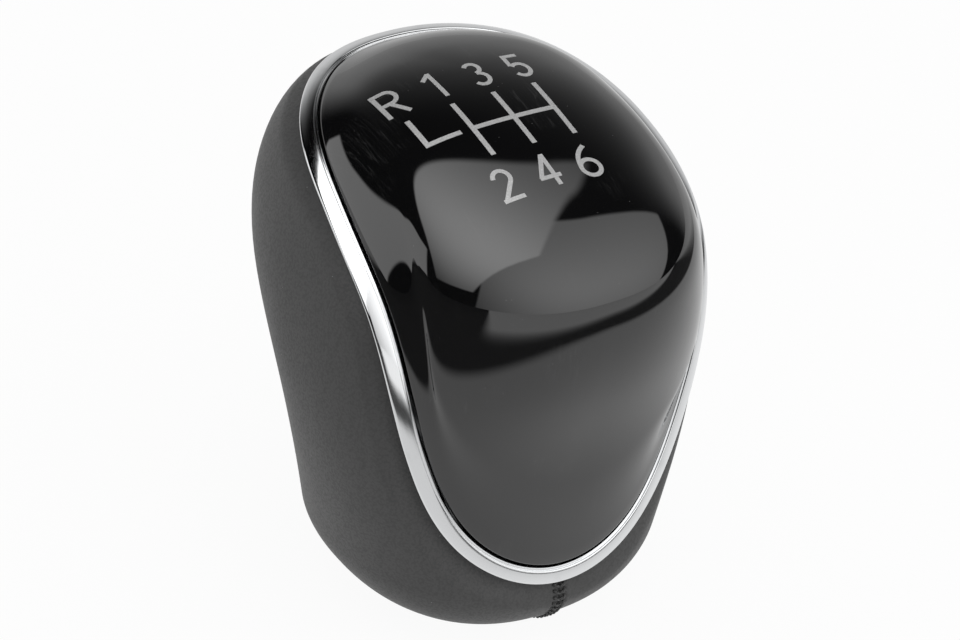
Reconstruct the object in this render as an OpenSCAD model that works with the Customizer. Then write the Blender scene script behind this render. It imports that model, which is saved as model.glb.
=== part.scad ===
// Gear shift knob for a car's manual gearbox: a leather covered moulded core, a gloss cap over the
// crown and the front, and a bright trim ring between them. Millimetres, +Z up along the lever.
// The driver sits on the -Y side, where the cap slopes down. The mirror plane is X = 0.

/* [Body form] */
// Height from the resting face to the crown
knob_h = 80; // [76:1:90]
// How far the crown lies behind the lever's axis
crown_y = 11.8; // [10:0.2:14]
// Half width of the body at equal steps of level from the base to the crown
side_stations = [23.5, 28.5, 32, 31.5, 29, 25.5, 22, 15.5]; // [10:0.5:40]
// Reach from the crown's axis towards the driver at the same levels
front_stations = [37, 37.5, 37.5, 42, 43.5, 43, 31.5, 13]; // [10:0.5:50]
// Reach from the crown's axis away from the driver at the same levels
back_stations = [14, 11.5, 14, 32, 34, 29.5, 19.5, 13]; // [8:0.5:40]
// Squareness of the front half of a level section, where 2 is an ellipse
front_square = 2.3; // [2:0.1:3]
// Squareness of the back half
back_square = 2.2; // [2:0.1:3]
// Radius that the leather turns under at the base
foot_r = 11.5; // [9:0.5:13]

/* [Trim ring] */
// Directions of the points that guide the ring's outer edge, from the driver's side round to the back
trim_dirs = [-90, -66, -48, -38.5, -36, -37, -31, -13.5, 9, 31.5, 51.5, 71, 90]; // [-90:0.5:90]
// Heights of the same points, in hundredths of the knob's height
trim_heights = [13.1, 16.9, 25, 36.3, 48.8, 61.3, 73.1, 80, 84.4, 86.9, 88.8, 89.4, 90]; // [10:0.1:92]
// Width of the bright band
trim_w = 3.7; // [3:0.1:5]
// How far the band stands above the body form
trim_proud = 0.6; // [0.3:0.1:1]
// Depth of the band's skirts below the body form
trim_depth = 1.9; // [1.5:0.1:2.2]
// Width of the chamfer along the band's inner edge
trim_chamfer = 0.8; // [0.4:0.1:1.2]

/* [Cap] */
// Wall of the gloss cap
cap_t = 1.9; // [1.5:0.1:2.2]
// Shadow gap between the cap's edge and the trim ring
cap_gap = 0.3; // [0.2:0.05:0.6]
// Radius of the cap's rounded edge
cap_edge_r = 1.2; // [0.6:0.1:1.6]

/* [Leather] */
// Thickness of the leather
leather_t = 1.2; // [0.9:0.1:1.5]
// How deep the leather's edge is drawn in beside the trim ring
tuck_depth = 1.6; // [1:0.1:2]
// Width over which the leather rounds in to the trim ring
tuck_w = 5; // [3:0.5:6]
// Half width of a cross stitch of the front seam
stitch_w = 1.1; // [0.8:0.1:1.5]
// Distance from one stitch to the next
stitch_pitch = 1.1; // [0.9:0.1:1.4]
// Radius of the seam's thread
yarn_r = 0.25; // [0.2:0.05:0.35]

/* [Core and carrier] */
// Wall of the moulded core
core_t = 2.4; // [1.8:0.1:3]
// Wall of the carrier under the cap
carrier_t = 1.8; // [1.5:0.1:2.2]
// Width of the core's ledge that the carrier rests on
ledge_w = 5; // [3.5:0.5:6]
// Wall of the boss round the insert, which the collar's screws stand in
boss_wall = 4.3; // [4:0.1:4.8]
// Distance of each screw tower from the mirror plane
tower_x = 12; // [11:0.5:13]
// Place of the screw towers behind the lever's axis
tower_y = 7; // [4:0.5:9]
// Outer radius of a screw tower
tower_r = 3.6; // [3.2:0.1:4]
// Depth below the crown of the split between the towers and the carrier's pads
tower_drop = 28; // [24:1:36]
// Height from that split to the seat of a carrier screw's head
pad_t = 4; // [3:0.5:5]

/* [Lever socket] */
// Bore radius of the insert, the minor radius of its M10 x 1.25 thread
bore_r = 4.35; // [4.2:0.05:4.5]
// Length of the threaded insert
insert_len = 26; // [20:1:30]
// Outer radius of the insert
insert_r = 6.8; // [6.4:0.1:7]
// Depth of the two grooves that lock the insert in the core
groove_depth = 0.6; // [0.4:0.1:0.8]
// Width of each locking groove
groove_w = 2.4; // [1.6:0.2:3]
// Moulded wall over the insert's inner end
boss_end_t = 3; // [2:0.5:4]
// Bore radius of the rubber bush, which clears the lever's plain shank
bush_bore_r = 5.3; // [5.1:0.1:5.6]
// Height of the rubber bush
bush_h = 4.5; // [3.5:0.5:5.5]

/* [Base collar] */
// Radius of the collar's flange on the resting face
collar_r = 13.5; // [12.5:0.5:14]
// Thickness of the flange
collar_t = 1.6; // [1.4:0.1:2]
// Bore radius of the collar
collar_bore_r = 6; // [5.8:0.1:6.4]
// Chamfer round the flange's lower edge
collar_chamfer = 0.5; // [0.2:0.1:0.8]
// Number of collar screws
collar_screws_n = 3; // [2:1:4]

/* [Screws] */
// Radius of a screw's shank
screw_r = 1.3; // [1:0.1:1.4]
// Radius of a screw's head
screw_head_r = 2.2; // [1.9:0.1:2.4]
// Height of a screw's head
screw_head_h = 1.2; // [1:0.1:1.4]
// Width of the cross recess in a screw's head
recess_w = 0.6; // [0.4:0.1:0.8]
// Depth of the cross recess
recess_depth = 0.6; // [0.4:0.1:0.8]
// Length of a carrier screw's shank
carrier_screw_len = 14; // [10:1:16]
// Length of a collar screw's shank
collar_screw_len = 6; // [5:0.5:8]

/* [Hidden] */

// clearance between seated pieces, and round a pin or a screw
seat_gap = 0.25;
fit_gap = 0.1;
// stations round the body, and rows on the cap, the carrier and the leather
around = 44;
half = around / 2;
cap_rows = 12;
carrier_rows = 6;
skin_rows = 13;
// rows on the cap stand closer together towards the crown
row_bias = 0.6;
// how far a row of points runs square to the ring before it turns to the crown or to the base
lead_in = 8;
// small step of level for slopes, and the level of the last row below the crown
tiny = 0.001;
crown_t = 0.99;

// levels of the socket's stack, from the collar up
lip_z = collar_t + fit_gap;
floor_z = lip_z + leather_t + fit_gap;
insert_z = floor_z + bush_h + fit_gap;
insert_top = insert_z + insert_len;
boss_top = insert_top + fit_gap + boss_end_t;
// radius of the boss, and of the circle that the collar's screws stand on in the middle of its wall
boss_r = insert_r + fit_gap + boss_wall;
screw_ring_r = boss_r - boss_wall / 2;
// radius of the leather's mouth, and of the collar's spigot inside it
lip_r = boss_r + 2 * fit_gap;
spigot_r = lip_r - fit_gap;
spigot_z = floor_z - fit_gap;
// split between the towers and the carrier's pads, and the seats of the two kinds of screw
tower_top = knob_h - tower_drop;
pad_seat_z = tower_top + pad_t;
collar_seat_z = screw_head_h + fit_gap;
// depths below the body form of the carrier's top, and of the core's ledge under it
carrier_d = max(cap_t, trim_depth) + seat_gap;
ledge_d = carrier_d + carrier_t + seat_gap;
// where the cap's edge has rounded on to its top face
cap_u = trim_w + cap_gap + cap_edge_r;

// cubic B-spline weight, and the curve through a list of guide values
function weight(x) = let (a = abs(x))
    a < 1 ? 2 / 3 - a * a + a * a * a / 2 : a < 2 ? pow(2 - a, 3) / 6 : 0;
function spline(list, x) = let (first = max(0, floor(x) - 1), last = min(len(list) - 1, floor(x) + 3))
    sum([for (i = [first : last]) list[i] * weight(x - (i - 1))]);
function sum(v, i = 0) = i >= len(v) ? 0 : v[i] + sum(v, i + 1);

// a reach closes to nothing at the crown and runs on straight below the base
function closed(list) = let (n = len(list))
    concat([2 * list[0] - list[1]], list, [0, -list[n - 1], -list[n - 2]]);
side_curve = closed(side_stations);
front_curve = closed(front_stations);
back_curve = closed(back_stations);
steps = len(side_stations);

// the ring's line is mirrored at the driver's side and at the back
trim_last = len(trim_dirs) - 1;
dir_curve = concat([-180 - trim_dirs[1]], trim_dirs,
    [180 - trim_dirs[trim_last - 1], 180 - trim_dirs[trim_last - 2]]);
height_curve = concat([trim_heights[1]], trim_heights,
    [trim_heights[trim_last - 1], trim_heights[trim_last - 2]]);

// level t runs from 0 at the base to 1 at the crown
function level_z(t) = knob_h * (1 - pow(1 - t, 2));
function z_level(z) = 1 - sqrt(1 - min(z, knob_h) / knob_h);
function foot_cut(z) = let (x = max(0, 1 - max(z, 0) / foot_r)) foot_r * (1 - sqrt(1 - x * x));

// point of the body form at level t and direction a, seen from the section's centre
function form(t, a) = let (
    z = level_z(t), cut = foot_cut(z),
    w = spline(side_curve, t * steps) - cut,
    y0 = crown_y - spline(front_curve, t * steps) + cut,
    y1 = crown_y + spline(back_curve, t * steps) - cut,
    h = (y1 - y0) / 2, n = sin(a) < 0 ? front_square : back_square,
    r = pow(pow(abs(cos(a)) / w, n) + pow(abs(sin(a)) / h, n), -1 / n))
    [r * cos(a), (y0 + y1) / 2 + r * sin(a), z];
function unit(v) = v / norm(v);
function up_slope(p) = (form(p[0] + tiny, p[1]) - form(p[0] - tiny, p[1])) / (2 * tiny);
function round_slope(p) = form(p[0], p[1] + 0.5) - form(p[0], p[1] - 0.5);
function outward(p) = unit(cross(round_slope(p), up_slope(p)));

// point that stands d mm proud of the body form at the place p, which is a level and a direction
function off(p, d) = form(p[0], p[1]) + d * outward(p);

// stations are counted from the back, over the left side, the driver's side and the right side
function spread(i) = 90 + i * 360 / around;
function trim_place(i) = let (
    s = trim_last * abs(1 - i / half),
    a = spline(dir_curve, s))
    [z_level(knob_h * spline(height_curve, s) / 100), i < half ? 180 - a : 360 + a];

// step of level and direction for 1 mm on the form, square to the ring and towards the cap
function inward(i) = let (
    p = trim_place(i),
    ahead = trim_place(i + 0.2),
    behind = trim_place(i - 0.2),
    along = unit(form(ahead[0], ahead[1]) - form(behind[0], behind[1])),
    d = cross(outward(p), along),
    m = cross(round_slope(p), up_slope(p)))
    [cross(round_slope(p), d) * m, cross(d, up_slope(p)) * m] / (m * m);
places = [for (i = [0 : around - 1]) trim_place(i)];
inwards = [for (i = [0 : around - 1]) inward(i)];

// place u mm inside the ring's outer edge at station i, or outside it where u is below 0
function edge(i, u) = places[i] + u * inwards[i];

// place r of the way along a curve that leaves the edge square to the ring and ends at the place q
function blend(p, c, q, r) = p * pow(1 - r, 2) + c * 2 * r * (1 - r) + q * r * r;
function to_crown(i, u, r) =
    blend(edge(i, u), edge(i, u + lead_in), [crown_t, spread(i)], pow(r, row_bias));
function to_base(i, r) = let (
    p = edge(i, -tuck_w),
    c = edge(i, -tuck_w - lead_in))
    blend(p, [max(c[0], (p[0] + lip_level) / 2), c[1]], [lip_level, spread(i)], r);
lip_level = z_level(collar_t / 2);

// the leather's face: places along a tuck beside the ring, then rows down to the turned edge
tuck_us = [0.15, 0.6, 1.4, 2.6, 3.8];
function tuck(u) = let (x = max(0, 1 - u / tuck_w)) tuck_depth * x * x * (3 - 2 * x);
function row_share(r) = 1 - pow(1 - r / skin_rows, 2);
function skin_point(i, r, d) = off(to_base(i, row_share(r)), -d);
function tuck_point(i, u, d) = off(edge(i, -u), -tuck(u) - d);
function lift(p, z) = [p[0], p[1], max(p[2], z)];
function polar(r, a, z) = [r * cos(a), r * sin(a), z];

// two triangles for the cell a, b, c, d, split along a to c or along b to d
function cell(first, a, b, c, d) = first ? [[a, b, c], [a, c, d]] : [[a, b, d], [b, c, d]];

// closed solid from one closed loop of points for each station round the body; the cells mirror from
// left to right, and those of the inner face, from the point numbered turn, lie along the outer ones
module ring_solid(loops, turn) {
    k = len(loops[0]);
    points = [for (loop = loops) each loop];
    faces = [for (i = [0 : around - 1], j = [0 : k - 1])
        let (b = (i + 1) % around, j2 = (j + 1) % k)
        each cell((i < half) == (j < turn), i * k + j, b * k + j, b * k + j2, i * k + j2)];
    polyhedron(points, faces, convexity = 10);
}

// faces of a dome: rows of points that close on a pole, seen from outside or from inside
function dome_faces(rows, first, pole) = concat(
    [for (r = [0 : rows - 2], i = [0 : around - 1]) let (b = (i + 1) % around, q = first + r * around)
        each cell(i < half, q + i, q + around + i, q + around + b, q + b)],
    [for (i = [0 : around - 1]) let (b = (i + 1) % around, q = first + (rows - 1) * around)
        [q + i, pole, q + b]]);
function turned(faces) = [for (f = faces) [f[0], f[2], f[1]]];

// closed shell between an outer and an inner dome
module dome_solid(outer, inner, outer_pole, inner_pole) {
    base = len(outer) * around;
    top = base + len(inner) * around;
    points = concat([for (row = outer) each row], [for (row = inner) each row], [outer_pole, inner_pole]);
    faces = concat(dome_faces(len(outer), 0, top), turned(dome_faces(len(inner), base, top + 1)),
        [for (i = [0 : around - 1]) let (b = (i + 1) % around)
            each [[i, b, base + b], [i, base + b, base + i]]]);
    polyhedron(points, faces, convexity = 10);
}

// row of points r of the way from u mm inside the ring's outer edge to the crown, d mm deep
function dome_row(u, r, d) = [for (i = [0 : around - 1]) off(to_crown(i, u, r), -d)];
function pole(d) = [0, crown_y, knob_h - d];

// the gloss cap: its edge is rounded down to the shadow gap
module top_cap() {
    rounding = [for (q = [0, 30, 60]) dome_row(cap_u - cap_edge_r * cos(q), 0, cap_edge_r * (1 - sin(q)))];
    outer = [for (k = [0 : cap_rows]) dome_row(cap_u, k / cap_rows, 0)];
    inner = [for (k = [0 : cap_rows]) dome_row(cap_u - (k == 0 ? cap_edge_r : 0), k / cap_rows, cap_t)];
    color([0.03, 0.03, 0.03]) dome_solid(concat(rounding, outer), inner, pole(0), pole(cap_t));
}

// the bright ring: a crowned band with a chamfer along its inner edge
module chrome_bezel() {
    rounding = trim_proud / 2;
    section = [[trim_w, -trim_depth], [trim_w, -rounding], [trim_w - trim_chamfer / 8, 0],
        [trim_w - trim_chamfer, trim_proud - fit_gap], [trim_w / 2, trim_proud + fit_gap],
        [2 * rounding, trim_proud], [rounding / 3, trim_proud - rounding], [0, 0], [0, -trim_depth]];
    color([0.88, 0.88, 0.89])
        ring_solid([for (i = [0 : around - 1]) [for (p = section) off(edge(i, p[0]), p[1])]], len(section));
}

// two places for the screws between the core's towers and the carrier's pads
module tower_places() {
    for (s = [-1, 1]) translate([s * tower_x, tower_y, 0]) children();
}

// everything under the cap that lies d mm or more below the body form, down to a point in the core
module under_cap(d) {
    rows = [for (k = [0 : carrier_rows]) dome_row(seat_gap, k / carrier_rows, d)];
    points = concat([for (row = rows) each row], [pole(d), [0, 0, floor_z]]);
    top = (carrier_rows + 1) * around;
    faces = concat(dome_faces(carrier_rows + 1, 0, top),
        [for (i = [0 : around - 1]) [i, (i + 1) % around, top + 1]]);
    polyhedron(points, faces, convexity = 10);
}

// rows of the carrier: one beside the ring's outer wall, then rows that start where the cap's do
function carrier_dome(rows, d) =
    concat([dome_row(seat_gap, 0, d)], [for (k = [0 : rows]) dome_row(cap_u, k / rows, d)]);

// the carrier: a domed frame under the cap and the ring, with two pads that meet the screw towers
module cap_carrier() {
    under_d = carrier_d + carrier_t;
    color([0.13, 0.13, 0.14]) difference() {
        union() {
            dome_solid(carrier_dome(cap_rows, carrier_d), carrier_dome(carrier_rows, under_d),
                pole(carrier_d), pole(under_d));
            intersection() {
                tower_places() translate([0, 0, tower_top + fit_gap])
                    cylinder(h = knob_h, r = tower_r, $fn = 32);
                under_cap(carrier_d + carrier_t / 3);
            }
        }
        tower_places() translate([0, 0, tower_top]) cylinder(h = knob_h, r = screw_r + fit_gap, $fn = 32);
        tower_places() translate([0, 0, pad_seat_z])
            cylinder(h = knob_h, r = screw_head_r + 2 * fit_gap, $fn = 32);
    }
}

// a screw that points down, with its head's seat at the origin and a cross recess
module screw(len) {
    recess = [2 * screw_r, recess_w, 2 * recess_depth];
    translate([0, 0, -len]) cylinder(h = len + tiny, r = screw_r, $fn = 24);
    difference() {
        cylinder(h = screw_head_h, r = screw_head_r, $fn = 24);
        for (q = [0, 90]) rotate(q) translate([0, 0, screw_head_h]) cube(recess, center = true);
    }
}

module carrier_screws() {
    color([0.72, 0.72, 0.74]) tower_places() translate([0, 0, pad_seat_z]) screw(carrier_screw_len);
}

// leather, from the tuck beside the ring down to the edge that is turned in over the base
module leather_cover() {
    tucks = [for (j = [len(tuck_us) - 1 : -1 : 0]) tuck_us[j]];
    loops = [for (i = [0 : around - 1]) concat(
        [for (u = tuck_us) tuck_point(i, u, 0)],
        [for (r = [0 : skin_rows]) skin_point(i, r, 0)],
        [polar(collar_r, spread(i), lip_z), polar(lip_r, spread(i), lip_z),
            polar(lip_r, spread(i), lip_z + leather_t)],
        [for (r = [skin_rows : -1 : 0]) lift(skin_point(i, r, leather_t), lip_z + leather_t)],
        [for (u = tucks) tuck_point(i, u, leather_t)])];
    color([0.25, 0.25, 0.26]) ring_solid(loops, len(tuck_us) + skin_rows + 3);
}

// place on the leather at the front, u mm below the ring and s mm to the side
function front_place(u, s) = let (p = edge(half, -u)) [p[0], p[1] + s / norm(round_slope(p))];
function stitch_end(u, s) = off(front_place(u, s), yarn_r - tuck(u));

// cross stitches of the front seam, each a pair of threads that meet in a V below the ring
module seam_thread() {
    color([0.09, 0.09, 0.1]) for (k = [0 : 3], s = [-1, 1]) {
        u = (k + 0.8) * stitch_pitch;
        hull() {
            translate(stitch_end(u, s * stitch_w)) sphere(r = yarn_r, $fn = 6);
            translate(stitch_end(u + stitch_pitch / 2, 0)) sphere(r = yarn_r, $fn = 6);
        }
    }
}

// core: outer wall under the leather, a ledge that carries the carrier, a floor, the insert's boss
// and the two screw towers
module core_body() {
    skin = leather_t + fit_gap;
    inner_d = skin + core_t;
    top_z = floor_z + core_t;
    loops = [for (i = [0 : around - 1]) concat(
        [for (u = tuck_us) tuck_point(i, u, skin)],
        [for (r = [0 : skin_rows]) lift(skin_point(i, r, skin), floor_z)],
        [polar(boss_r - core_t, spread(i), floor_z), polar(boss_r - core_t, spread(i), top_z)],
        [for (r = [skin_rows : -2 : 1]) lift(skin_point(i, r, inner_d), top_z)],
        [off(edge(i, -1), -ledge_d - core_t), off(edge(i, ledge_w), -ledge_d - core_t),
            off(edge(i, ledge_w), -ledge_d), off(edge(i, 0), -ledge_d)])];
    color([0.16, 0.16, 0.17]) difference() {
        union() {
            ring_solid(loops, len(tuck_us) + skin_rows + 2);
            translate([0, 0, floor_z]) cylinder(h = boss_top - floor_z, r = boss_r, $fn = 48);
            tower_places() translate([0, 0, floor_z])
                cylinder(h = tower_top - floor_z, r = tower_r, $fn = 32);
        }
        translate([0, 0, floor_z - 1])
            cylinder(h = insert_top + fit_gap - floor_z + 1, r = insert_r + fit_gap, $fn = 48);
        tower_places() translate([0, 0, pad_seat_z - carrier_screw_len - 1])
            cylinder(h = knob_h, r = screw_r + fit_gap / 2, $fn = 24);
        screw_ring() translate([0, 0, floor_z - 1])
            cylinder(h = collar_seat_z + collar_screw_len - floor_z + 2, r = screw_r + fit_gap / 2,
                $fn = 24);
    }
}

// brass insert with two locking grooves; the bore is the thread's minor diameter
module threaded_insert() {
    profile = [[bore_r, insert_z], [insert_r, insert_z],
        each [for (k = [1, 2]) let (z = insert_z + insert_len * k / 3)
            each [[insert_r, z - groove_w / 2], [insert_r - groove_depth, z - groove_w / 2 + groove_depth],
                [insert_r - groove_depth, z + groove_w / 2 - groove_depth], [insert_r, z + groove_w / 2]]],
        [insert_r, insert_top], [bore_r, insert_top]];
    color([0.72, 0.58, 0.3]) rotate_extrude($fn = 64) polygon(profile);
}

// rubber bush that stops the lever's shank from rattling
module lever_bush() {
    color([0.08, 0.08, 0.08]) translate([0, 0, floor_z])
        difference() {
            cylinder(h = bush_h, r = insert_r, $fn = 48);
            translate([0, 0, -1]) cylinder(h = bush_h + 2, r = bush_bore_r, $fn = 48);
        }
}

// places of the collar's screws, the first one towards the back
module screw_ring() {
    for (k = [0 : collar_screws_n - 1]) rotate(90 + k * 360 / collar_screws_n)
        translate([screw_ring_r, 0, 0]) children();
}

// collar on the resting face: a flange under the leather's turned edge, with a spigot inside it
module base_collar() {
    profile = [[collar_bore_r, 0], [collar_r - collar_chamfer, 0], [collar_r, collar_chamfer],
        [collar_r, collar_t], [spigot_r, collar_t], [spigot_r, spigot_z], [collar_bore_r, spigot_z]];
    color([0.1, 0.1, 0.1]) difference() {
        rotate_extrude($fn = 64) polygon(profile);
        screw_ring() translate([0, 0, -1]) cylinder(h = spigot_z + 2, r = screw_r + fit_gap, $fn = 24);
        screw_ring() translate([0, 0, -1])
            cylinder(h = collar_seat_z + 1, r = screw_head_r + fit_gap, $fn = 24);
    }
}

module collar_screws() {
    color([0.72, 0.72, 0.74])
        screw_ring() translate([0, 0, collar_seat_z]) mirror([0, 0, 1]) screw(collar_screw_len);
}

top_cap();
chrome_bezel();
cap_carrier();
carrier_screws();
leather_cover();
seam_thread();
core_body();
threaded_insert();
lever_bush();
base_collar();
collar_screws();
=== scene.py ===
"""Looks of a car's gear shift knob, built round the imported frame.

The knob's classes and finishes hold lengths in millimetres and angles in degrees, as a drawing of the knob
gives them, and MM turns them into metres where a mesh or a node is made. The lamps and the floor are in
metres. +Z runs up along the lever, and the driver sits on the -Y side, where the gloss cap slopes down.
"""

import logging
import math
from dataclasses import dataclass, field
from enum import Enum

import bmesh
import bpy
import numpy as np
from mathutils import Matrix, Vector


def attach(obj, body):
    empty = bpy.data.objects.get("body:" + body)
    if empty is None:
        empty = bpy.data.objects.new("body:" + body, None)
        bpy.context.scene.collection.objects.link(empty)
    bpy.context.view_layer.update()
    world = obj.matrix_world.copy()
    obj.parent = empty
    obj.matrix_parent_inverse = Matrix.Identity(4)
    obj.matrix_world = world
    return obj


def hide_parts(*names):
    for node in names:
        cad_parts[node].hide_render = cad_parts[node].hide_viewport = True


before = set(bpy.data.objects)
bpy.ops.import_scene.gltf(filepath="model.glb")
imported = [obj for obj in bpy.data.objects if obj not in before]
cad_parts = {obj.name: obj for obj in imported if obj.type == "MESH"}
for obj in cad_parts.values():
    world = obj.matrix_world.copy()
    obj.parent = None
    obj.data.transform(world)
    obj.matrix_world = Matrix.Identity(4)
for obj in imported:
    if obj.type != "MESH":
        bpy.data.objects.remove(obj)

MM = 0.001
ASKEW = np.array([0.31, 0.17, 0.93])  # a direction that no swept path runs along
BODY = "root"
log = logging.getLogger("gear_knob")


# Shader values and nodes

class Value:
    """A socket of a node tree that Python's operators act on."""

    def __init__(self, board: "NodeBoard", socket: bpy.types.NodeSocket) -> None:
        """Keep the board and the socket.

        Args:
            board: The board that the value's nodes are added to.
            socket: The output socket that carries the value.
        """
        self.board = board
        self.socket = socket

    def __add__(self, other: "Value | float") -> "Value":
        """The sum of two values."""
        return self.board.math("ADD", self, other)

    def __sub__(self, other: "Value | float") -> "Value":
        """This value less another."""
        return self.board.math("SUBTRACT", self, other)

    def __rsub__(self, other: "Value | float") -> "Value":
        """A number less this value."""
        return self.board.math("SUBTRACT", other, self)

    def __mul__(self, other: "Value | float") -> "Value":
        """The product of two values."""
        return self.board.math("MULTIPLY", self, other)

    def __pow__(self, other: "Value | float") -> "Value":
        """This value raised to a power."""
        return self.board.math("POWER", self, other)

    __radd__ = __add__
    __rmul__ = __mul__

    def between(self, low: float, high: float) -> "Value":
        """How far the value has gone from one number to another, held within 0 and 1.

        Args:
            low: The value that gives 0.
            high: The value that gives 1, which may be below low.

        Returns:
            The smooth share of the way.
        """
        node = self.board.node("ShaderNodeMapRange", {"interpolation_type": "SMOOTHSTEP"}, {
            "Value": self, "From Min": min(low, high), "From Max": max(low, high)})
        share = Value(self.board, node.outputs["Result"])
        return share if high > low else 1 - share


class NodeBoard:
    """A node tree with one method for every kind of node, and the few that this object's finishes share."""

    def __init__(self, tree: bpy.types.NodeTree) -> None:
        """Empty the tree.

        Args:
            tree: The node tree of a material or of the world.
        """
        self.tree = tree
        tree.nodes.clear()

    def node(self, kind: str, settings: dict[str, object] | None = None,
             sockets: dict[str | int, object] | None = None) -> bpy.types.Node:
        """Add any node.

        Args:
            kind: The node's type name.
            settings: Values of its own settings, which are set first.
            sockets: Numbers, colours, vectors or values for its input sockets.

        Returns:
            The new node.
        """
        made = self.tree.nodes.new(kind)
        for name, setting in (settings or {}).items():
            setattr(made, name, setting)
        for name, given in (sockets or {}).items():
            if isinstance(given, Value):
                self.tree.links.new(given.socket, made.inputs[name])
            else:
                made.inputs[name].default_value = given
        return made

    def out(self, node: bpy.types.Node, name: str | int = 0) -> Value:
        """An output of a node as a value."""
        return Value(self, node.outputs[name])

    def math(self, operation: str, *terms: "Value | float") -> Value:
        """A Math node's result for one or two terms."""
        return self.out(self.node("ShaderNodeMath", {"operation": operation}, dict(enumerate(terms))))

    def place(self) -> Value:
        """The surface's place in the object's own frame, in metres."""
        return self.out(self.node("ShaderNodeTexCoord"), "Object")

    def mapped(self, turn: float, stretch: tuple[float, float, float]) -> Value:
        """The surface's place, turned about the lever's axis and stretched.

        Args:
            turn: Turn in degrees.
            stretch: Scale along the three turned axes.

        Returns:
            The mapped place.
        """
        return self.out(self.node("ShaderNodeMapping", {"vector_type": "POINT"}, {
            "Vector": self.place(), "Rotation": (0, 0, math.radians(turn)), "Scale": stretch}))

    def noise(self, size: float, detail: float = 2.0, rough: float = 0.5, at: Value | None = None) -> Value:
        """Noise with features of a given size.

        Args:
            size: Size of the features in millimetres.
            detail: Octaves of finer noise.
            rough: Strength of the finer octaves.
            at: Where the noise is read, by default the surface's own place.

        Returns:
            The noise, from 0 to 1.
        """
        return self.out(self.node("ShaderNodeTexNoise", None, {
            "Vector": at or self.place(), "Scale": 1 / (size * MM), "Detail": detail,
            "Roughness": rough}), "Fac")

    def cells(self, size: float, feature: str = "F1", at: Value | None = None) -> Value:
        """Voronoi cells of a given size.

        Args:
            size: Distance between cells in millimetres.
            feature: The feature that the node measures.
            at: Where the cells are read, by default the surface's own place.

        Returns:
            The distance to the cell's point, in cells.
        """
        return self.out(self.node("ShaderNodeTexVoronoi", {"feature": feature}, {
            "Vector": at or self.place(), "Scale": 1 / (size * MM)}), "Distance")

    def attribute(self, name: str) -> Value:
        """A number that the mesh carries at its points."""
        return self.out(self.node("ShaderNodeAttribute", {"attribute_name": name}), "Fac")

    def mix(self, share: Value | float, first: "Value | Colour", second: "Value | Colour") -> Value:
        """A colour between two colours."""
        return self.out(self.node("ShaderNodeMix", {"data_type": "RGBA"}, {
            0: share, 6: as_rgba(first), 7: as_rgba(second)}), 2)

    def along(self, vector: Value, way: tuple[float, float, float]) -> Value:
        """How far a vector reaches along a direction."""
        dot = self.node("ShaderNodeVectorMath", {"operation": "DOT_PRODUCT"}, {0: vector, 1: way})
        return self.out(dot, "Value")

    def bump(self, height: Value, distance: float, strength: float = 1.0) -> Value:
        """A normal that follows a height.

        Args:
            height: Height in shares of the distance.
            distance: Height of 1 in millimetres.
            strength: Share of the effect.

        Returns:
            The normal.
        """
        return self.out(self.node("ShaderNodeBump", None, {
            "Height": height, "Distance": distance * MM, "Strength": strength}), "Normal")


Colour = tuple[float, float, float]


def as_rgba(colour: "Value | Colour") -> "Value | tuple[float, float, float, float]":
    """A colour with its alpha, or a value as it is."""
    return colour if isinstance(colour, Value) else (*colour, 1.0)


def direction(azimuth: float, elevation: float) -> Vector:
    """Unit vector of an azimuth, which is 0 at the driver and 90 on the right, and an elevation."""
    a, e = math.radians(azimuth), math.radians(elevation)
    return Vector((math.sin(a) * math.cos(e), -math.cos(a) * math.cos(e), math.sin(e)))


def grey(level: float) -> Colour:
    """Turn a display's grey into a linear colour.

    Args:
        level: The grey as a display shows it, from 0 to 255.

    Returns:
        The linear colour.
    """
    share = level / 255
    linear = ((share + 0.055) / 1.055) ** 2.4
    return (linear, linear, linear)


# Finishes

@dataclass(frozen=True)
class Finish:
    """A surface's finish: constants of the shader here, and what varies in paint().

    Where paint() varies the roughness, the constant is its least value.
    """

    name: str
    roughness: float = 0.5
    metallic: float = 0.0
    specular: float = 0.5
    sheen: float = 0.0

    def material(self) -> bpy.types.Material:
        """Build the material.

        Returns:
            A node material whose Principled shader has this finish.
        """
        made = bpy.data.materials.new(self.name)
        made.use_nodes = True
        board = NodeBoard(made.node_tree)
        shader = board.node("ShaderNodeBsdfPrincipled", None, {
            "Roughness": self.roughness, "Metallic": self.metallic, "Specular IOR Level": self.specular,
            "Sheen Weight": self.sheen})
        for name, value in self.paint(board).items():
            board.tree.links.new(value.socket, shader.inputs[name])
        board.node("ShaderNodeOutputMaterial", None, {"Surface": board.out(shader)})
        return made

    def paint(self, board: NodeBoard) -> dict[str, Value]:
        """Say what varies over the surface.

        Args:
            board: The material's nodes.

        Returns:
            The value for each of the shader's varying sockets.
        """
        raise NotImplementedError


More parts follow.
